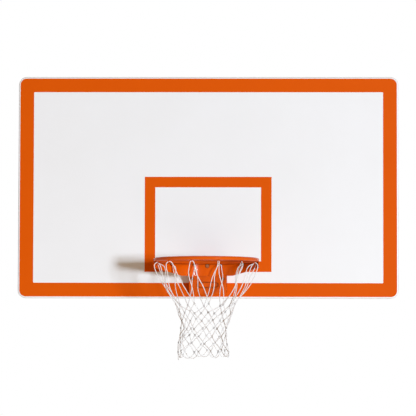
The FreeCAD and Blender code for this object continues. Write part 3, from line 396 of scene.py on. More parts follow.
cord_length = 0
for half_step in range(1, HALF_STEPS, 2):
    left, right = knots[0, half_step - 1], knots[0, (half_step + 1) % HALF_STEPS]
    hook = round_ring(HOOK_RADIUS, half_step, HOOK_DROP)
    outwards = away_from_axis(hook)
    along = UP.cross(outwards)
    opens = outwards * LOOP_SPREAD * random.Random(f"loop {half_step}").choice((-1, 1))
    middle = hook - outwards * (LOOP_SPREAD if hook.y > ring_centre.y else 0)
    arch = [middle + opens - along * ARCH_FOOT_ALONG - UP * ARCH_FOOT_DROP,
            hook + opens * ARCH_TOP_SHARE - along * ARCH_TOP_ALONG + UP * ARCH_TOP_RISE,
            hook - opens * ARCH_TOP_SHARE + along * ARCH_TOP_ALONG + UP * ARCH_TOP_RISE,
            middle - opens + along * ARCH_FOOT_ALONG - UP * ARCH_FOOT_DROP]
    first = slack_leg(left, arch[0], outwards, along, f"leg {half_step} a")
    second = slack_leg(right, arch[-1], outwards, along, f"leg {half_step} b")
    cord_length += lay_cord(first + arch + second[::-1])
print("cord in the loops", round(cord_length, 2), "m")

# %% [markdown]
# ## The net: diamonds and bottom loops
#
# Under the first row the net carries its own weight, so the sides of its diamonds are nearly straight, and
# one middle point moved a little aside is enough. The loops that close the bottom hang free and differ in
# length, in width and in how far they stand out.

# %% Lay the diamonds and the bottom loops
BOW = 0.0025
TAIL_LONGER = (-0.002, 0.012)
TAIL_OUT = (-0.004, 0.012)
TAIL_WIDTH_SHARES = (0.22, 0.32)


def bowed(start, end, seed):
    """Start, a middle point moved a little aside, and end."""
    chance = random.Random(seed)
    aside = Vector([chance.uniform(-BOW, BOW) for _ in range(3)])
    return [start, (start + end) / 2 + aside, end]


for (row, half_step), knot in knots.items():
    if row < LAST_ROW:
        for side in (-1, 1):
            below = knots[row + 1, (half_step + side) % HALF_STEPS]
            cord_length += lay_cord(bowed(knot, below, f"cord {row} {half_step} {side}"))
for half_step in range(1, HALF_STEPS, 2):
    left, right = knots[LAST_ROW, half_step - 1], knots[LAST_ROW, (half_step + 1) % HALF_STEPS]
    chance = random.Random(f"tail {half_step}")
    lowest = (left + right) / 2 - Vector((0, 0, TAIL_DROP + chance.uniform(*TAIL_LONGER)))
    lowest += away_from_axis(lowest) * chance.uniform(*TAIL_OUT)
    across = (right - left) * chance.uniform(*TAIL_WIDTH_SHARES)
    cord_length += lay_cord([left, lowest - across, lowest + across, right])
print("cord in the net", round(cord_length, 2), "m without its knots")

# %% [markdown]
# ## The net: knots
#
# A knot is a cord that goes round itself. The simplest such curve is the trefoil, three loops that pass over
# and under, and it has a short formula. Here it lies flat in the surface of the net, turned at random. The
# net maker's own knot would be truer up close, but at this size the eye sees only a small woven lump.

# %% Tie the knots
KNOT_POINTS = 12
KNOT_RINGS = 3
KNOT_SCALE = 0.00145
KNOT_DEPTH = 1.5
PULLED_TIGHT = 0.86


def tie_knot(place, seed):
    """A flattened trefoil in the surface of the net."""
    outwards = away_from_axis(place)
    upright = Matrix((UP.cross(outwards), UP, outwards)).transposed()
    turned = upright @ Matrix.Rotation(random.Random(seed).uniform(0, math.tau), 3, "Z")
    points = []
    for index in range(KNOT_POINTS):
        turn = math.tau * index / KNOT_POINTS
        loop = Vector((math.sin(turn) + 2 * math.sin(2 * turn), math.cos(turn) - 2 * math.cos(2 * turn),
                       -KNOT_DEPTH * math.sin(3 * turn)))
        points.append(place + turned @ (loop * KNOT_SCALE))
    lay_cord(points, thickness=PULLED_TIGHT, closed=True, rings=KNOT_RINGS)


for (row, half_step), place in knots.items():
    tie_knot(place, f"tie {row} {half_step}")
print(len(cords.splines), "runs of cord, knots included")

# %% [markdown]
# ## The net: one mesh
#
# The knots are painted darker, some more than others: shade in their crevices, and the dust that hands and
# balls leave there. A point attribute holds it, which the cord's finish reads later: full near the middle of
# a knot, fading out along the cords.

# %% Make the net a mesh
cord_line = link_object("net_cords", cords)
bpy.context.view_layer.update()
net_mesh = bpy.data.meshes.new_from_object(cord_line.evaluated_get(bpy.context.evaluated_depsgraph_get()))
net = link_object("knotted_net", net_mesh)
for leftover in (cord_line, cord_section):
    bpy.data.objects.remove(leftover)
net_mesh.polygons.foreach_set("use_smooth", [True] * len(net_mesh.polygons))
print("net:", sum(len(face.vertices) - 2 for face in net_mesh.polygons), "triangles")

# %% Shade and dust in the knots
KNOT_SHADE_REACH = 0.0095
LEAST_KNOT_SHADE = 0.3
knot_tree = KDTree(len(knots))
shade_and_dust = []
for index, place in enumerate(knots.values()):
    knot_tree.insert(place, index)
    shade_and_dust.append(random.Random(f"dust {index}").uniform(LEAST_KNOT_SHADE, 1) ** 2)
knot_tree.balance()
# How much painted shade and dust each point of the net gets from its nearest knot.
knot_shade_and_dust = net_mesh.attributes.new("knot_shade_and_dust", "FLOAT", "POINT")
for vert in net_mesh.vertices:
    _, index, distance = knot_tree.find(vert.co)
    # Full within half of the reach, and none at its end.
    fade = 2 * (1 - distance / KNOT_SHADE_REACH)
    knot_shade_and_dust.data[vert.index].value = shade_and_dust[index] * max(0, min(1, fade))
print("dust in the knots, on average", round(sum(shade_and_dust) / len(shade_and_dust), 2))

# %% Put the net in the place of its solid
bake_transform(net)
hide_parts("net")
print("net bends over", round(MILLIMETRES * (FIRST_ROW_DROP - HOOK_DROP)), "mm under its hooks")

# %% [markdown]
# ## The return springs
#
# Each spring is a steel wire wound into a helix, with its last turns closed so that it stands flat on its
# seat. A Screw modifier could make it, with one pitch throughout. Spinning a small circle round an upright
# axis while it climbs gives the same, and changing the climb per step closes the ends.

# %% Wind the springs
WIRE = 0.006
WIRE_SIDES = 12
STEPS_PER_TURN = 24
CLOSED_TURNS, CLOSED_PITCH = 0.75, 1.02 * WIRE
OPEN_TURNS = 4.5


def finished_piece(name, made):
    """A new object from a bmesh, smooth, with its faces pointing outwards."""
    mesh = bpy.data.meshes.new(name)
    bmesh.ops.recalc_face_normals(made, faces=made.faces)
    made.to_mesh(mesh)
    made.free()
    mesh.polygons.foreach_set("use_smooth", [True] * len(mesh.polygons))
    return link_object(name, mesh)


def close_ends(made):
    """Fill the open ends of swept tubes."""
    bmesh.ops.holes_fill(made, edges=[edge for edge in made.edges if edge.is_boundary], sides=0)


def wind_spring(side):
    """One return spring, closed turns, open turns and closed turns, in the place of its solid."""
    low, high = corners(f"{side}_spring")
    axis_foot = Vector(((low.x + high.x) / 2, (low.y + high.y) / 2, low.z))
    radius = (high.y - low.y - WIRE) / 2
    climb = high.z - low.z - WIRE
    open_pitch = (climb - 2 * CLOSED_TURNS * CLOSED_PITCH) / OPEN_TURNS
    wire = bmesh.new()
    upright = Matrix.Rotation(math.radians(90), 4, "X")
    place = Matrix.Translation(axis_foot + Vector((radius, 0, WIRE / 2)))
    bmesh.ops.create_circle(wire, segments=WIRE_SIDES, radius=WIRE / 2, matrix=place @ upright)
    end = list(wire.verts) + list(wire.edges)
    closed = (CLOSED_TURNS, CLOSED_PITCH)
    for turns, pitch in (closed, (OPEN_TURNS, open_pitch), closed):
        steps = round(turns * STEPS_PER_TURN)
        end = bmesh.ops.spin(wire, geom=end, cent=axis_foot, axis=(0, 0, 1), angle=math.tau * turns,
                             steps=steps, dvec=(0, 0, pitch * turns / steps))["geom_last"]
    close_ends(wire)
    spring = finished_piece(f"{side}_wound_spring", wire)
    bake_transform(spring)
    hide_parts(f"{side}_spring")
    return spring


springs = [wind_spring(side) for side in ("left", "right")]
print("springs of", len(springs[0].data.polygons), "faces")

# %% [markdown]
# ## Weld beads
#
# A weld looks like a row of overlapping coins, because the welder's arm moves on a little after each drop. A
# row of flattened balls would do, but would leave their hidden halves inside each other. Here one small
# circle is extruded along the seam instead, a ring at a time, and every second ring is made a little smaller,
# so that each bead is a single closed skin. Its two ends taper off. The ring's beads are coated with the
# ring, and the board's are enamelled with the board.

# %% Lay a weld bead
COIN = 0.0024
COIN_DIP = 0.84
FEWEST_COINS = 3
BEAD_SIDES = 8
LENGTH_SAMPLES = 20
NUDGE_SHARE = 0.01
TIP_SHARE, TAPER_PER_RING = 0.35, 0.3


def weld_bead(path, radius):
    """A rippled bead along a path, a function of a share from 0 to 1 that gives a point in metres."""
    samples = [path(step / LENGTH_SAMPLES) for step in range(LENGTH_SAMPLES + 1)]
    length = sum((after - before).length for before, after in zip(samples, samples[1:]))
    steps = 2 * max(FEWEST_COINS, round(length / COIN))
    bead = bmesh.new()
    ring = bmesh.ops.create_circle(bead, segments=BEAD_SIDES, radius=1)["verts"]
    edges = list(bead.edges)
    before = Matrix.Identity(4)
    for step in range(steps + 1):
        share = step / steps
        if step:
            grown = bmesh.ops.extrude_edge_only(bead, edges=edges)["geom"]
            ring = [part for part in grown if isinstance(part, bmesh.types.BMVert)]
            edges = [part for part in grown if isinstance(part, bmesh.types.BMEdge) and part.is_boundary]
        onwards = path(min(1, share + NUDGE_SHARE)) - path(max(0, share - NUDGE_SHARE))
        taper = min(1, TIP_SHARE + TAPER_PER_RING * min(step, steps - step))
        size = radius * taper * (COIN_DIP if step % 2 else 1)
        facing = onwards.to_track_quat("Z", "Y").to_matrix().to_4x4()
        place = Matrix.Translation(path(share)) @ facing @ Matrix.Scale(size, 4)
        bmesh.ops.transform(bead, matrix=place @ before.inverted(), verts=ring)
        before = place
    close_ends(bead)
    return bead


def welded(name, seams, body):
    """One piece from beads along all these seams, each a path and a radius."""
    skin = bmesh.new()
    for path, radius in seams:
        bead = weld_bead(path, radius)
        loose = bpy.data.meshes.new("bead")
        bead.to_mesh(loose)
        bead.free()
        skin.from_mesh(loose)
        bpy.data.meshes.remove(loose)
    piece = finished_piece(name, skin)
    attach(piece, body)
    print(name, len(seams), "beads,", len(piece.data.polygons), "faces")
    return piece


print("a coin of weld every", MILLIMETRES * COIN, "mm")

# %% [markdown]
# ## Welds of the ring
#
# The brace is stitched to the underside of the ring in nine short runs, because one long run would warp it.
# The carrier's top plate has a single bead where it meets the ring, and every net hook a tack at its foot.
# All of them go round the ring's axis, so one kind of path, an arc, serves for the three.

# %% Beads on the ring
# How far outside the bar's middle and over it a bead lies, and its radius.
BRACE_SEAM = (0.0086, -0.0064, 0.0022)
PLATE_SEAM = (0.0081, 0.0061, 0.0025)
HOOK_TACK = (0.0022, -0.0093, 0.0031)
# Angles in degrees, from the side of the ring that faces the board.
STITCH_ANGLES, STITCH_HALF = range(-80, 81, 20), 5
PLATE_HALF = 18
TACK_HALF = 0.8


def ring_seam(seam, middle, half):
    """A seam round the ring's axis, by its place on the bar and the angles of its middle and half length."""
    outside, rise, radius = seam

    def path(share):
        angle = math.radians(90 + middle - half + 2 * half * share)
        reach = RING_RADIUS + outside
        return ring_centre + Vector((reach * math.cos(angle), reach * math.sin(angle), rise))
    return path, radius


ring_seams = [ring_seam(BRACE_SEAM, angle, STITCH_HALF) for angle in STITCH_ANGLES]
ring_seams.append(ring_seam(PLATE_SEAM, 0, PLATE_HALF))
for half_step in range(1, HALF_STEPS, 2):
    hook_angle = math.degrees(math.tau * half_step / HALF_STEPS) - 90
    ring_seams.append(ring_seam(HOOK_TACK, hook_angle, TACK_HALF))
ring_welds = welded("ring_welds", ring_seams, "rim")

# %% [markdown]
# ## Welds of the board
#
# The uprights are stitched to the back of the face every 150 millimetres along both edges, and the cross
# channels are welded to the uprights at their ends. The places come from the boxes of the solids, so that the
# beads stay in their corners. Drawn as a bump in the finish they would vanish in a side view.

# %% Beads on the uprights and channels
# Places are in millimetres, and the radius of a bead in metres.
STITCH_HEIGHTS, STITCH_REACH = range(-450, 451, 150), 20
UPRIGHT_BEAD, CHANNEL_END_BEAD, CHANNEL_SIDE_BEAD = 0.0024, 0.0026, 0.0024
OFF_FACE, OFF_OUTER_EDGE, IN_INNER_FOLD = 0.9, 0.7, 1.7
OFF_CHANNEL, CHANNEL_FOLD, CHANNEL_FOOT = 0.5, 7, 4


def straight(start, end, radius):
    """A straight seam from one point to another, in millimetres, with the radius of its bead."""
    start, end = Vector(start) / MILLIMETRES, Vector(end) / MILLIMETRES
    return lambda share: start.lerp(end, share), radius


board_seams = []
upright_low, upright_high = corners("right_upright", MILLIMETRES)
y = upright_low.y + OFF_FACE
for side in (-1, 1):
    for height in STITCH_HEIGHTS:
        for x in (side * (upright_high.x + OFF_OUTER_EDGE), side * (upright_low.x + IN_INNER_FOLD)):
            board_seams.append(straight((x, y, height - STITCH_REACH), (x, y, height + STITCH_REACH),
                                        UPRIGHT_BEAD))
    for channel in ("upper_cross_channel", "lower_cross_channel"):
        low, high = corners(channel, MILLIMETRES)
        x = side * (high.x - OFF_CHANNEL)
        back = high.y + OFF_CHANNEL
        board_seams.append(straight((x, back, low.z + CHANNEL_FOLD), (x, back, high.z - CHANNEL_FOLD),
                                    CHANNEL_END_BEAD))
        for z in (low.z - OFF_CHANNEL, high.z + OFF_CHANNEL):
            board_seams.append(straight((x, low.y + CHANNEL_FOOT, z), (x, high.y - CHANNEL_FOLD, z),
                                        CHANNEL_SIDE_BEAD))
print(len(board_seams), "seams on the uprights and channels")

# %% [markdown]
# ## Welds of the goal
#
# The goal's backing plate is stitched round its edge, at the top on its rear corner, because a channel lies
# against it there. In front of the board, each cheek of the bracket has one long bead where it meets the back
# plate. A bead all the way round would be stronger, but that much heat would warp the thin face.

# %% Beads on the backing plate
PLATE_HEIGHTS, PLATE_REACH, PLATE_SIDE_BEAD = (-490, -397, -305), 22, 0.0027
PLATE_MIDDLES, PLATE_RUN, PLATE_EDGE_BEAD = (-70, 0, 70), 20, 0.0025
OFF_PLATE, PLATE_SEAM_BACK = 0.6, 1
low, high = corners("goal_backing_plate", MILLIMETRES)
front = low.y + PLATE_SEAM_BACK
for side in (-1, 1):
    x = side * (high.x + OFF_PLATE)
    for height in PLATE_HEIGHTS:
        board_seams.append(straight((x, front, height - PLATE_REACH), (x, front, height + PLATE_REACH),
                                    PLATE_SIDE_BEAD))
for x in PLATE_MIDDLES:
    for y, z in ((front, low.z - OFF_PLATE), (high.y + OFF_PLATE, high.z - OFF_PLATE)):
        board_seams.append(straight((x - PLATE_RUN, y, z), (x + PLATE_RUN, y, z), PLATE_EDGE_BEAD))
board_welds = welded("board_welds", board_seams, "backboard")

# %% Beads on the bracket
CHEEK_BEAD, OFF_CHEEK, CHEEK_SEAM_FRONT, CHEEK_BARE_END = 0.0022, 0.4, 1.2, 8
low, high = corners("right_cheek", MILLIMETRES)
y = high.y - CHEEK_SEAM_FRONT
bracket_seams = []
for side in (1, -1):
    x = side * (high.x + OFF_CHEEK)
    bracket_seams.append(straight((x, y, low.z + CHEEK_BARE_END), (x, y, high.z - CHEEK_BARE_END),
                                  CHEEK_BEAD))
bracket_welds = welded("bracket_welds", bracket_seams, "backboard")

# %% [markdown]
# ## Screw threads
#
# The solids have plain round shanks. Where an end stands out of its nut the thread shows, so a small
# three-cornered ridge is spun round the shank while it climbs. This is the same operator that winds the
# springs. Cutting a groove with a boolean would be slower and would have to change the solid.

# %% Cut the threads
THREAD_STEPS = 20
RIDGE_ROOT, RIDGE_CREST = 0.0004, 0.0005
OFF_NUT, BARE_THREAD = 0.0002, 0.0006
BOLT_RADIUS, BOLT_PITCH, BOLT_SPACING = 0.00635, 0.00195, 0.127
PIN_RADIUS, PIN_PITCH = 0.007, 0.002


def wind_thread(skin, foot, axis, length, radius, pitch):
    """A ridge wound round a shank from its foot, along an axis, over a length."""
    foot, axis = Vector(foot), Vector(axis)
    outwards = axis.orthogonal().normalized()
    section = ((radius - RIDGE_ROOT, 0), (radius + RIDGE_CREST, pitch / 2), (radius - RIDGE_ROOT, pitch))
    ridge = [skin.verts.new(foot + outwards * reach + axis * climb) for reach, climb in section]
    edges = [skin.edges.new((ridge[index], ridge[(index + 1) % 3])) for index in range(3)]
    turns = (length - pitch) / pitch
    steps = round(turns * THREAD_STEPS)
    bmesh.ops.spin(skin, geom=ridge + edges, cent=foot, axis=axis, angle=math.tau * turns, steps=steps,
                   dvec=axis * pitch * turns / steps)


thread = bmesh.new()
bolt_low, bolt_high = corners("goal_bolts")
nut_end = corners("goal_nuts")[1].y
bolt_middle = (bolt_low.z + bolt_high.z) / 2
for side in (-1, 1):
    for up in (-1, 1):
        foot = (side * BOLT_SPACING / 2, nut_end + OFF_NUT, bolt_middle + up * BOLT_SPACING / 2)
        wind_thread(thread, foot, (0, 1, 0), bolt_high.y - nut_end - BARE_THREAD, BOLT_RADIUS, BOLT_PITCH)
pin_low, pin_high = corners("pivot_pin")
nut_end = corners("pivot_nut")[1].x
foot = (nut_end + OFF_NUT, (pin_low.y + pin_high.y) / 2, (pin_low.z + pin_high.z) / 2)
wind_thread(thread, foot, (1, 0, 0), pin_high.x - nut_end - BARE_THREAD, PIN_RADIUS, PIN_PITCH)
close_ends(thread)
threads = finished_piece("bolt_threads", thread)
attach(threads, "backboard")
print("threads of", len(threads.data.polygons), "faces")

# %% [markdown]
# ## White enamel and printed markings
#
# The board is a pressed steel pan, sprayed with enamel and baked. The eye sees an even white with a soft
# sheen, the slow waves of a large pressed sheet in its reflections, and a faint ripple of the paint. Border
# and target are printed on it in a flatter enamel ink. Noise drifts the colour and the gloss by a little, and
# two bumps, one on top of the other, make the waves and the ripple. A single colour would look like card.

# %% Enamel on pressed steel
COLOUR_DRIFT, SMUDGES, SHEET_WAVES = 260, 70, 200
# Sprayed paint ripples every 2 to 3 mm. It is drawn at 6 mm, so that it shows at the camera's distance.
PAINT_RIPPLE = 6
GLOSS_DRIFT = 0.05


def enamel(name, lighter, darker, roughness, shine):
    """Sprayed and baked enamel: even colour, a soft sheen, a faint ripple, and waves of pressed sheet."""
    finish, tree = new_finish(name)
    place = add_node(tree, "ShaderNodeTexCoord").outputs["Object"]
    cloud = add_node(tree, "ShaderNodeTexNoise",
                     {"Vector": place, "Scale": per_millimetre(COLOUR_DRIFT), "Detail": 3})
    tint = add_node(tree, "ShaderNodeMix", {"Factor": cloud.outputs["Fac"], "A": linear(lighter),
                                            "B": linear(darker)}, data_type="RGBA")
    smudge = add_node(tree, "ShaderNodeTexNoise",
                      {"Vector": place, "Scale": per_millimetre(SMUDGES), "Detail": 4})
    gloss = add_node(tree, "ShaderNodeMapRange",
                     {"Value": smudge.outputs["Fac"], "To Min": roughness - GLOSS_DRIFT,
                      "To Max": roughness + GLOSS_DRIFT})
    ripple = add_node(tree, "ShaderNodeTexNoise",
                      {"Vector": place, "Scale": per_millimetre(PAINT_RIPPLE), "Detail": 1})
    waves = add_node(tree, "ShaderNodeTexNoise",
                     {"Vector": place, "Scale": per_millimetre(SHEET_WAVES), "Detail": 0})
    slow = add_node(tree, "ShaderNodeBump", {"Height": waves.outputs["Fac"], "Strength": 0.25,
                                             "Distance": 0.004})
    fine = add_node(tree, "ShaderNodeBump", {"Height": ripple.outputs["Fac"], "Strength": 0.12,
                                             "Distance": 0.0006, "Normal": slow.outputs["Normal"]})
    shader = add_node(tree, "ShaderNodeBsdfPrincipled",
                      {"Base Color": tint.outputs["Result"], "Roughness": gloss.outputs["Result"], "IOR": 1.5,
                       "Specular IOR Level": shine, "Normal": fine.outputs["Normal"]})
    add_node(tree, "ShaderNodeOutputMaterial", {"Surface": shader.outputs[0]})
    return finish


# Baked enamel shines softly; the printed ink over it is flat, and takes almost no reflections.
white_enamel = enamel("white_enamel_on_steel", "#F2F2F2", "#EEEEED", roughness=0.32, shine=0.3)
orange_print = enamel("orange_printed_enamel", "#E15B05", "#DB5604", roughness=0.40, shine=0.03)
print("enamels:", white_enamel.name, orange_print.name)

# %% [markdown]
# ## Shade and dust on the cover
#
# The sloped cover has an oval bead pressed into it, which stiffens the sheet. Along the bead's foot the
# colour
# is darkened in patches: painted shade of the crease, and the dust that settles there. Painting it by hand
# would need an image. The distance from an oval is simple enough for nodes: it is the distance from a short
# level line, less the oval's half height. Position along the slope comes from the height, because the cover
# is a plane.

# %% Shade and dust beside the bead
BEAD_LENGTH, BEAD_HEIGHT = 0.100, 0.036
BEAD_SHADE_FULL, BEAD_SHADE_GONE = 0.0015, 0.0055
BEAD_SHADE_PATCHES = 30


def shade_beside_bead(tree, place):
    """Painted shade and dust beside the oval bead of the sloped cover: in patches along the bead's foot, and
    0 away from it.
    """
    low, high = corners("front_cover")
    slope = math.atan2(high.z - low.z, high.y - low.y)
    parts = add_node(tree, "ShaderNodeSeparateXYZ", {"Vector": place})
    sideways = add_node(tree, "ShaderNodeMath", {0: parts.outputs["X"]}, operation="ABSOLUTE")
    past_line = add_node(tree, "ShaderNodeMath",
                         {0: sideways.outputs[0], 1: BEAD_LENGTH / 2 - BEAD_HEIGHT / 2}, operation="SUBTRACT")
    beyond = add_node(tree, "ShaderNodeMath", {0: past_line.outputs[0], 1: 0}, operation="MAXIMUM")
    rise = add_node(tree, "ShaderNodeMath",
                    {0: parts.outputs["Z"], 1: (low.z + high.z) / 2}, operation="SUBTRACT")
    uphill = add_node(tree, "ShaderNodeMath", {0: rise.outputs[0], 1: math.sin(slope)}, operation="DIVIDE")
    offset = add_node(tree, "ShaderNodeCombineXYZ", {"X": beyond.outputs[0], "Y": uphill.outputs[0]})
    reach = add_node(tree, "ShaderNodeVectorMath", {0: offset.outputs[0]}, operation="LENGTH")
    past_foot = add_node(tree, "ShaderNodeMath",
                         {0: reach.outputs["Value"], 1: BEAD_HEIGHT / 2}, operation="SUBTRACT")
    away = add_node(tree, "ShaderNodeMath", {0: past_foot.outputs[0]}, operation="ABSOLUTE")
    near = add_node(tree, "ShaderNodeMapRange",
                    {"Value": away.outputs[0], "From Min": BEAD_SHADE_FULL, "From Max": BEAD_SHADE_GONE,
                     "To Min": 1, "To Max": 0})
    patch = add_node(tree, "ShaderNodeTexNoise",
                     {"Vector": place, "Scale": per_millimetre(BEAD_SHADE_PATCHES), "Detail": 2})
    patchy = add_node(tree, "ShaderNodeMapRange",
                      {"Value": patch.outputs["Fac"], "From Min": 0.35, "From Max": 0.6,
                       "To Min": 0.1, "To Max": 0.65})
    # Painted shade and dust along the bead's foot, in patches.
    return add_node(tree, "ShaderNodeMath", {0: near.outputs["Result"], 1: patchy.outputs["Result"]},
                    operation="MULTIPLY").outputs[0]


print("dust within", MILLIMETRES * BEAD_SHADE_GONE, "mm of the bead's edge")

# %% [markdown]
# ## Orange powder coat
#
# Ring, brace and bracket are sprayed with dry powder, which melts in an oven into a thick skin. The eye sees
# a strong orange with a hard gloss, broken up by small dimples, and a brown shade is painted in wherever two
# pieces meet. The dimples are a bump. The Ambient Occlusion node finds the corners for the painted shade,
# from any side and without a mask in an image.

# %% Orange powder coat
COAT_CLOUDS = 45
# The dimples of powder are about 1 mm across. They are drawn at 3 mm, so that they show.
COAT_DIMPLES = 3
NOOK_REACH = 0.006


def powder_coat(name, lighter, darker, with_bead_shade=False):
    """Baked powder: glossy, with the small dimples of an orange-peel look, and painted shade in its corners.
    """
    finish, tree = new_finish(name)
    place = add_node(tree, "ShaderNodeTexCoord").outputs["Object"]
    cloud = add_node(tree, "ShaderNodeTexNoise",
                     {"Vector": place, "Scale": per_millimetre(COAT_CLOUDS), "Detail": 4})
    tint = add_node(tree, "ShaderNodeMix", {"Factor": cloud.outputs["Fac"], "A": linear(lighter),
                                            "B": linear(darker)}, data_type="RGBA")
    # Painted shade: where the Ambient Occlusion node finds other surfaces close by, the colour turns dark
    # brown.
    nook = add_node(tree, "ShaderNodeAmbientOcclusion", {"Distance": NOOK_REACH}, samples=8)
    corner_shade = add_node(tree, "ShaderNodeMapRange",
                     {"Value": nook.outputs["AO"], "From Min": 0.50, "From Max": 0.96,
                      "To Min": 0.85, "To Max": 0})
    shade_and_dust = corner_shade.outputs["Result"]
    if with_bead_shade:
        shade_and_dust = add_node(tree, "ShaderNodeMath", {0: shade_and_dust, 1: shade_beside_bead(tree, place)},
                        operation="MAXIMUM").outputs[0]
    # Dark brown painted in as shade in the corners, and along the cover's bead as shade and dust.
    shaded_coat = add_node(tree, "ShaderNodeMix", {"Factor": shade_and_dust, "A": tint.outputs["Result"],
                                              "B": linear("#5A2706")}, data_type="RGBA")
    gloss = add_node(tree, "ShaderNodeMapRange",
                     {"Value": cloud.outputs["Fac"], "To Min": 0.10, "To Max": 0.17})
    dimples = add_node(tree, "ShaderNodeTexNoise",
                       {"Vector": place, "Scale": per_millimetre(COAT_DIMPLES), "Detail": 1})
    peel = add_node(tree, "ShaderNodeBump", {"Height": dimples.outputs["Fac"], "Strength": 0.15,
                                             "Distance": 0.0003})
    shader = add_node(tree, "ShaderNodeBsdfPrincipled",
                      {"Base Color": shaded_coat.outputs["Result"], "Roughness": gloss.outputs["Result"],
                       "IOR": 1.5, "Specular IOR Level": 0.04, "Normal": peel.outputs["Normal"],
                       "Coat Weight": 0.07, "Coat Roughness": 0.05})
    add_node(tree, "ShaderNodeOutputMaterial", {"Surface": shader.outputs[0]})
    return finish


COAT_ORANGES = ("#E65E05", "#DC5604")
orange_coat = powder_coat("baked_orange_powder_coat", *COAT_ORANGES)
cover_coat = powder_coat("baked_orange_powder_coat_on_cover", *COAT_ORANGES, with_bead_shade=True)
print("powder coat:", orange_coat.name, cover_coat.name)

# %% [markdown]
# ## Hardware
#
# Bolts, springs, the stop pad and the bushes are small and mostly hidden, but each has its own feel. All of
# them have blotches of two near colours and a fine grain that breaks up the gloss, so one function serves,
# and only its sizes, colours and how metallic it is differ. Image textures would be sharper, but need a file.

# %% Zinc plate, spring wire, rubber and nylon
GRAIN_GLOSS = 0.08


def mottled(name, lighter, darker, blotch, rough, metallic, grain, bump):
    """A finish with blotches of two colours and a fine bumpy grain, sizes in millimetres."""
    finish, tree = new_finish(name)
    place = add_node(tree, "ShaderNodeTexCoord").outputs["Object"]
    cloud = add_node(tree, "ShaderNodeTexNoise",
                     {"Vector": place, "Scale": per_millimetre(blotch), "Detail": 4})
    tint = add_node(tree, "ShaderNodeMix", {"Factor": cloud.outputs["Fac"], "A": linear(lighter),
                                            "B": linear(darker)}, data_type="RGBA")
    speckle = add_node(tree, "ShaderNodeTexNoise",
                       {"Vector": place, "Scale": per_millimetre(grain), "Detail": 2})
    gloss = add_node(tree, "ShaderNodeMapRange",
                     {"Value": speckle.outputs["Fac"], "To Min": rough - GRAIN_GLOSS,
                      "To Max": rough + GRAIN_GLOSS})
    relief = add_node(tree, "ShaderNodeBump", {"Height": speckle.outputs["Fac"], "Strength": bump,
                                               "Distance": 0.0003})
    shader = add_node(tree, "ShaderNodeBsdfPrincipled",
                      {"Base Color": tint.outputs["Result"], "Roughness": gloss.outputs["Result"],
                       "Metallic": metallic, "Normal": relief.outputs["Normal"]})
    add_node(tree, "ShaderNodeOutputMaterial", {"Surface": shader.outputs[0]})
    return finish


# The real grain of plating, wire and mouldings is under 0.1 mm. It is drawn at 1 to 1.5 mm, so that it shows.
# Plated in a bath, zinc is a warm grey metal with a soft, slightly patchy shine.
zinc = mottled("zinc_plated_steel", "#A8A198", "#89837B", blotch=6, rough=0.34, metallic=1.0,
               grain=1.2, bump=0.2)
# Where the powder gun has dusted it, it turns rusty orange and loses most of the metal's shine.
coated_zinc = mottled("zinc_plate_under_overspray", "#A96231", "#864927", blotch=5, rough=0.36, metallic=0.3,
                      grain=1.2, bump=0.2)
# Drawn, quenched in oil and tempered, spring wire is nearly black, with a satin gleam along its turns.
spring_wire = mottled("oil_tempered_wire", "#3A3A3C", "#262627", blotch=9, rough=0.4, metallic=0.85,
                      grain=1.0, bump=0.2)
# Rubber from a sandblasted mould is black and dull, with a grain that swallows reflections.
rubber = mottled("moulded_rubber", "#1E1E1E", "#161616", blotch=12, rough=0.72, metallic=0.0,
                 grain=1.5, bump=0.5)
# Nylon turned from a rod is a warm ivory with a waxy sheen.
nylon = mottled("natural_nylon", "#E9E4D6", "#DDD7C6", blotch=8, rough=0.42, metallic=0.0,
                grain=1.0, bump=0.1)
print("hardware:", zinc.name, coated_zinc.name, spring_wire.name, rubber.name, nylon.name)
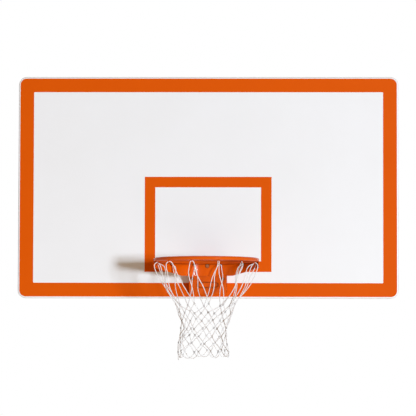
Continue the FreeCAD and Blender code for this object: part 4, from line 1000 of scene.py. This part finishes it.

# %% [markdown]
# ## White net cord
#
# The net is laid from white synthetic yarn. The eye sees a soft matt white that glows a little where light
# goes through the fibres, fuzz along the strands, and darker knots. Subsurface scattering gives the glow and
# a little sheen the fuzz, and the attribute that was made with the net says where grey is painted into the
# knots, as their shade and dust.

# %% White net cord
# Bundles of fibres are about 0.3 mm thick. They are drawn at 1.2 mm, so that they show.
FIBRES = 1.2
SOILED_PATCHES = 60
net_finish, tree = new_finish("twisted_net_cord")
place = add_node(tree, "ShaderNodeTexCoord").outputs["Object"]
fibres = add_node(tree, "ShaderNodeTexNoise", {"Vector": place, "Scale": per_millimetre(FIBRES), "Detail": 3})
soil = add_node(tree, "ShaderNodeTexNoise",
                {"Vector": place, "Scale": per_millimetre(SOILED_PATCHES), "Detail": 3})
clean = add_node(tree, "ShaderNodeMix", {"Factor": soil.outputs["Fac"], "A": linear("#FAF9F8"),
                                         "B": linear("#F0EEEC")}, data_type="RGBA")
knot_shade = add_node(tree, "ShaderNodeAttribute", attribute_name="knot_shade_and_dust").outputs["Fac"]
# Grey painted into the knots, as their shade and dust.
tint = add_node(tree, "ShaderNodeMix", {"Factor": knot_shade, "A": clean.outputs["Result"],
                                        "B": linear("#B5B2B0")}, data_type="RGBA")
fuzz = add_node(tree, "ShaderNodeBump", {"Height": fibres.outputs["Fac"], "Strength": 0.5,
                                         "Distance": 0.0004})
shader = add_node(tree, "ShaderNodeBsdfPrincipled",
                  {"Base Color": tint.outputs["Result"], "Roughness": 0.8, "Sheen Weight": 0.2,
                   "Subsurface Weight": 0.5, "Subsurface Radius": (1, 1, 1), "Subsurface Scale": 0.0015,
                   "Normal": fuzz.outputs["Normal"]})
add_node(tree, "ShaderNodeOutputMaterial", {"Surface": shader.outputs[0]})
print("net finish:", net_finish.name)

# %% [markdown]
# ## Put the finishes on
#
# Every solid names a material slot in the record, so most finishes go on by one table. The cover with its
# painted shade and dust along the bead, and the bolt and screws that the powder gun caught, have a finish of
# their own. The new pieces come without a material, and get theirs one by one.

# %% Put the finishes on
FINISH_OF_SLOT = {"white_enamel": white_enamel, "orange_marking": orange_print,
                  "orange_powder_coat": orange_coat, "zinc_plated": zinc, "spring_steel": spring_wire,
                  "black_rubber": rubber, "nylon": nylon, "net_cord": net_finish}
OWN_FINISH = {"front_cover": cover_coat, "brace_bolt": coated_zinc, "cover_screws": coated_zinc}
for subpart in frame["record"]["subparts"]:
    node = subpart["node"]
    for material_slot in solids[node].material_slots:
        material_slot.material = OWN_FINISH.get(node, FINISH_OF_SLOT[subpart["material_slot"]])
new_pieces = ((net, net_finish), (springs[0], spring_wire), (springs[1], spring_wire), (threads, zinc),
              (ring_welds, orange_coat), (bracket_welds, orange_coat), (board_welds, white_enamel))
for piece, finish in new_pieces:
    piece.data.materials.append(finish)

# %% [markdown]
# ## Finish
#
# The view transform is Standard, so that colours render as they are written.

# %% View transform
bpy.context.scene.view_settings.view_transform = "Standard"
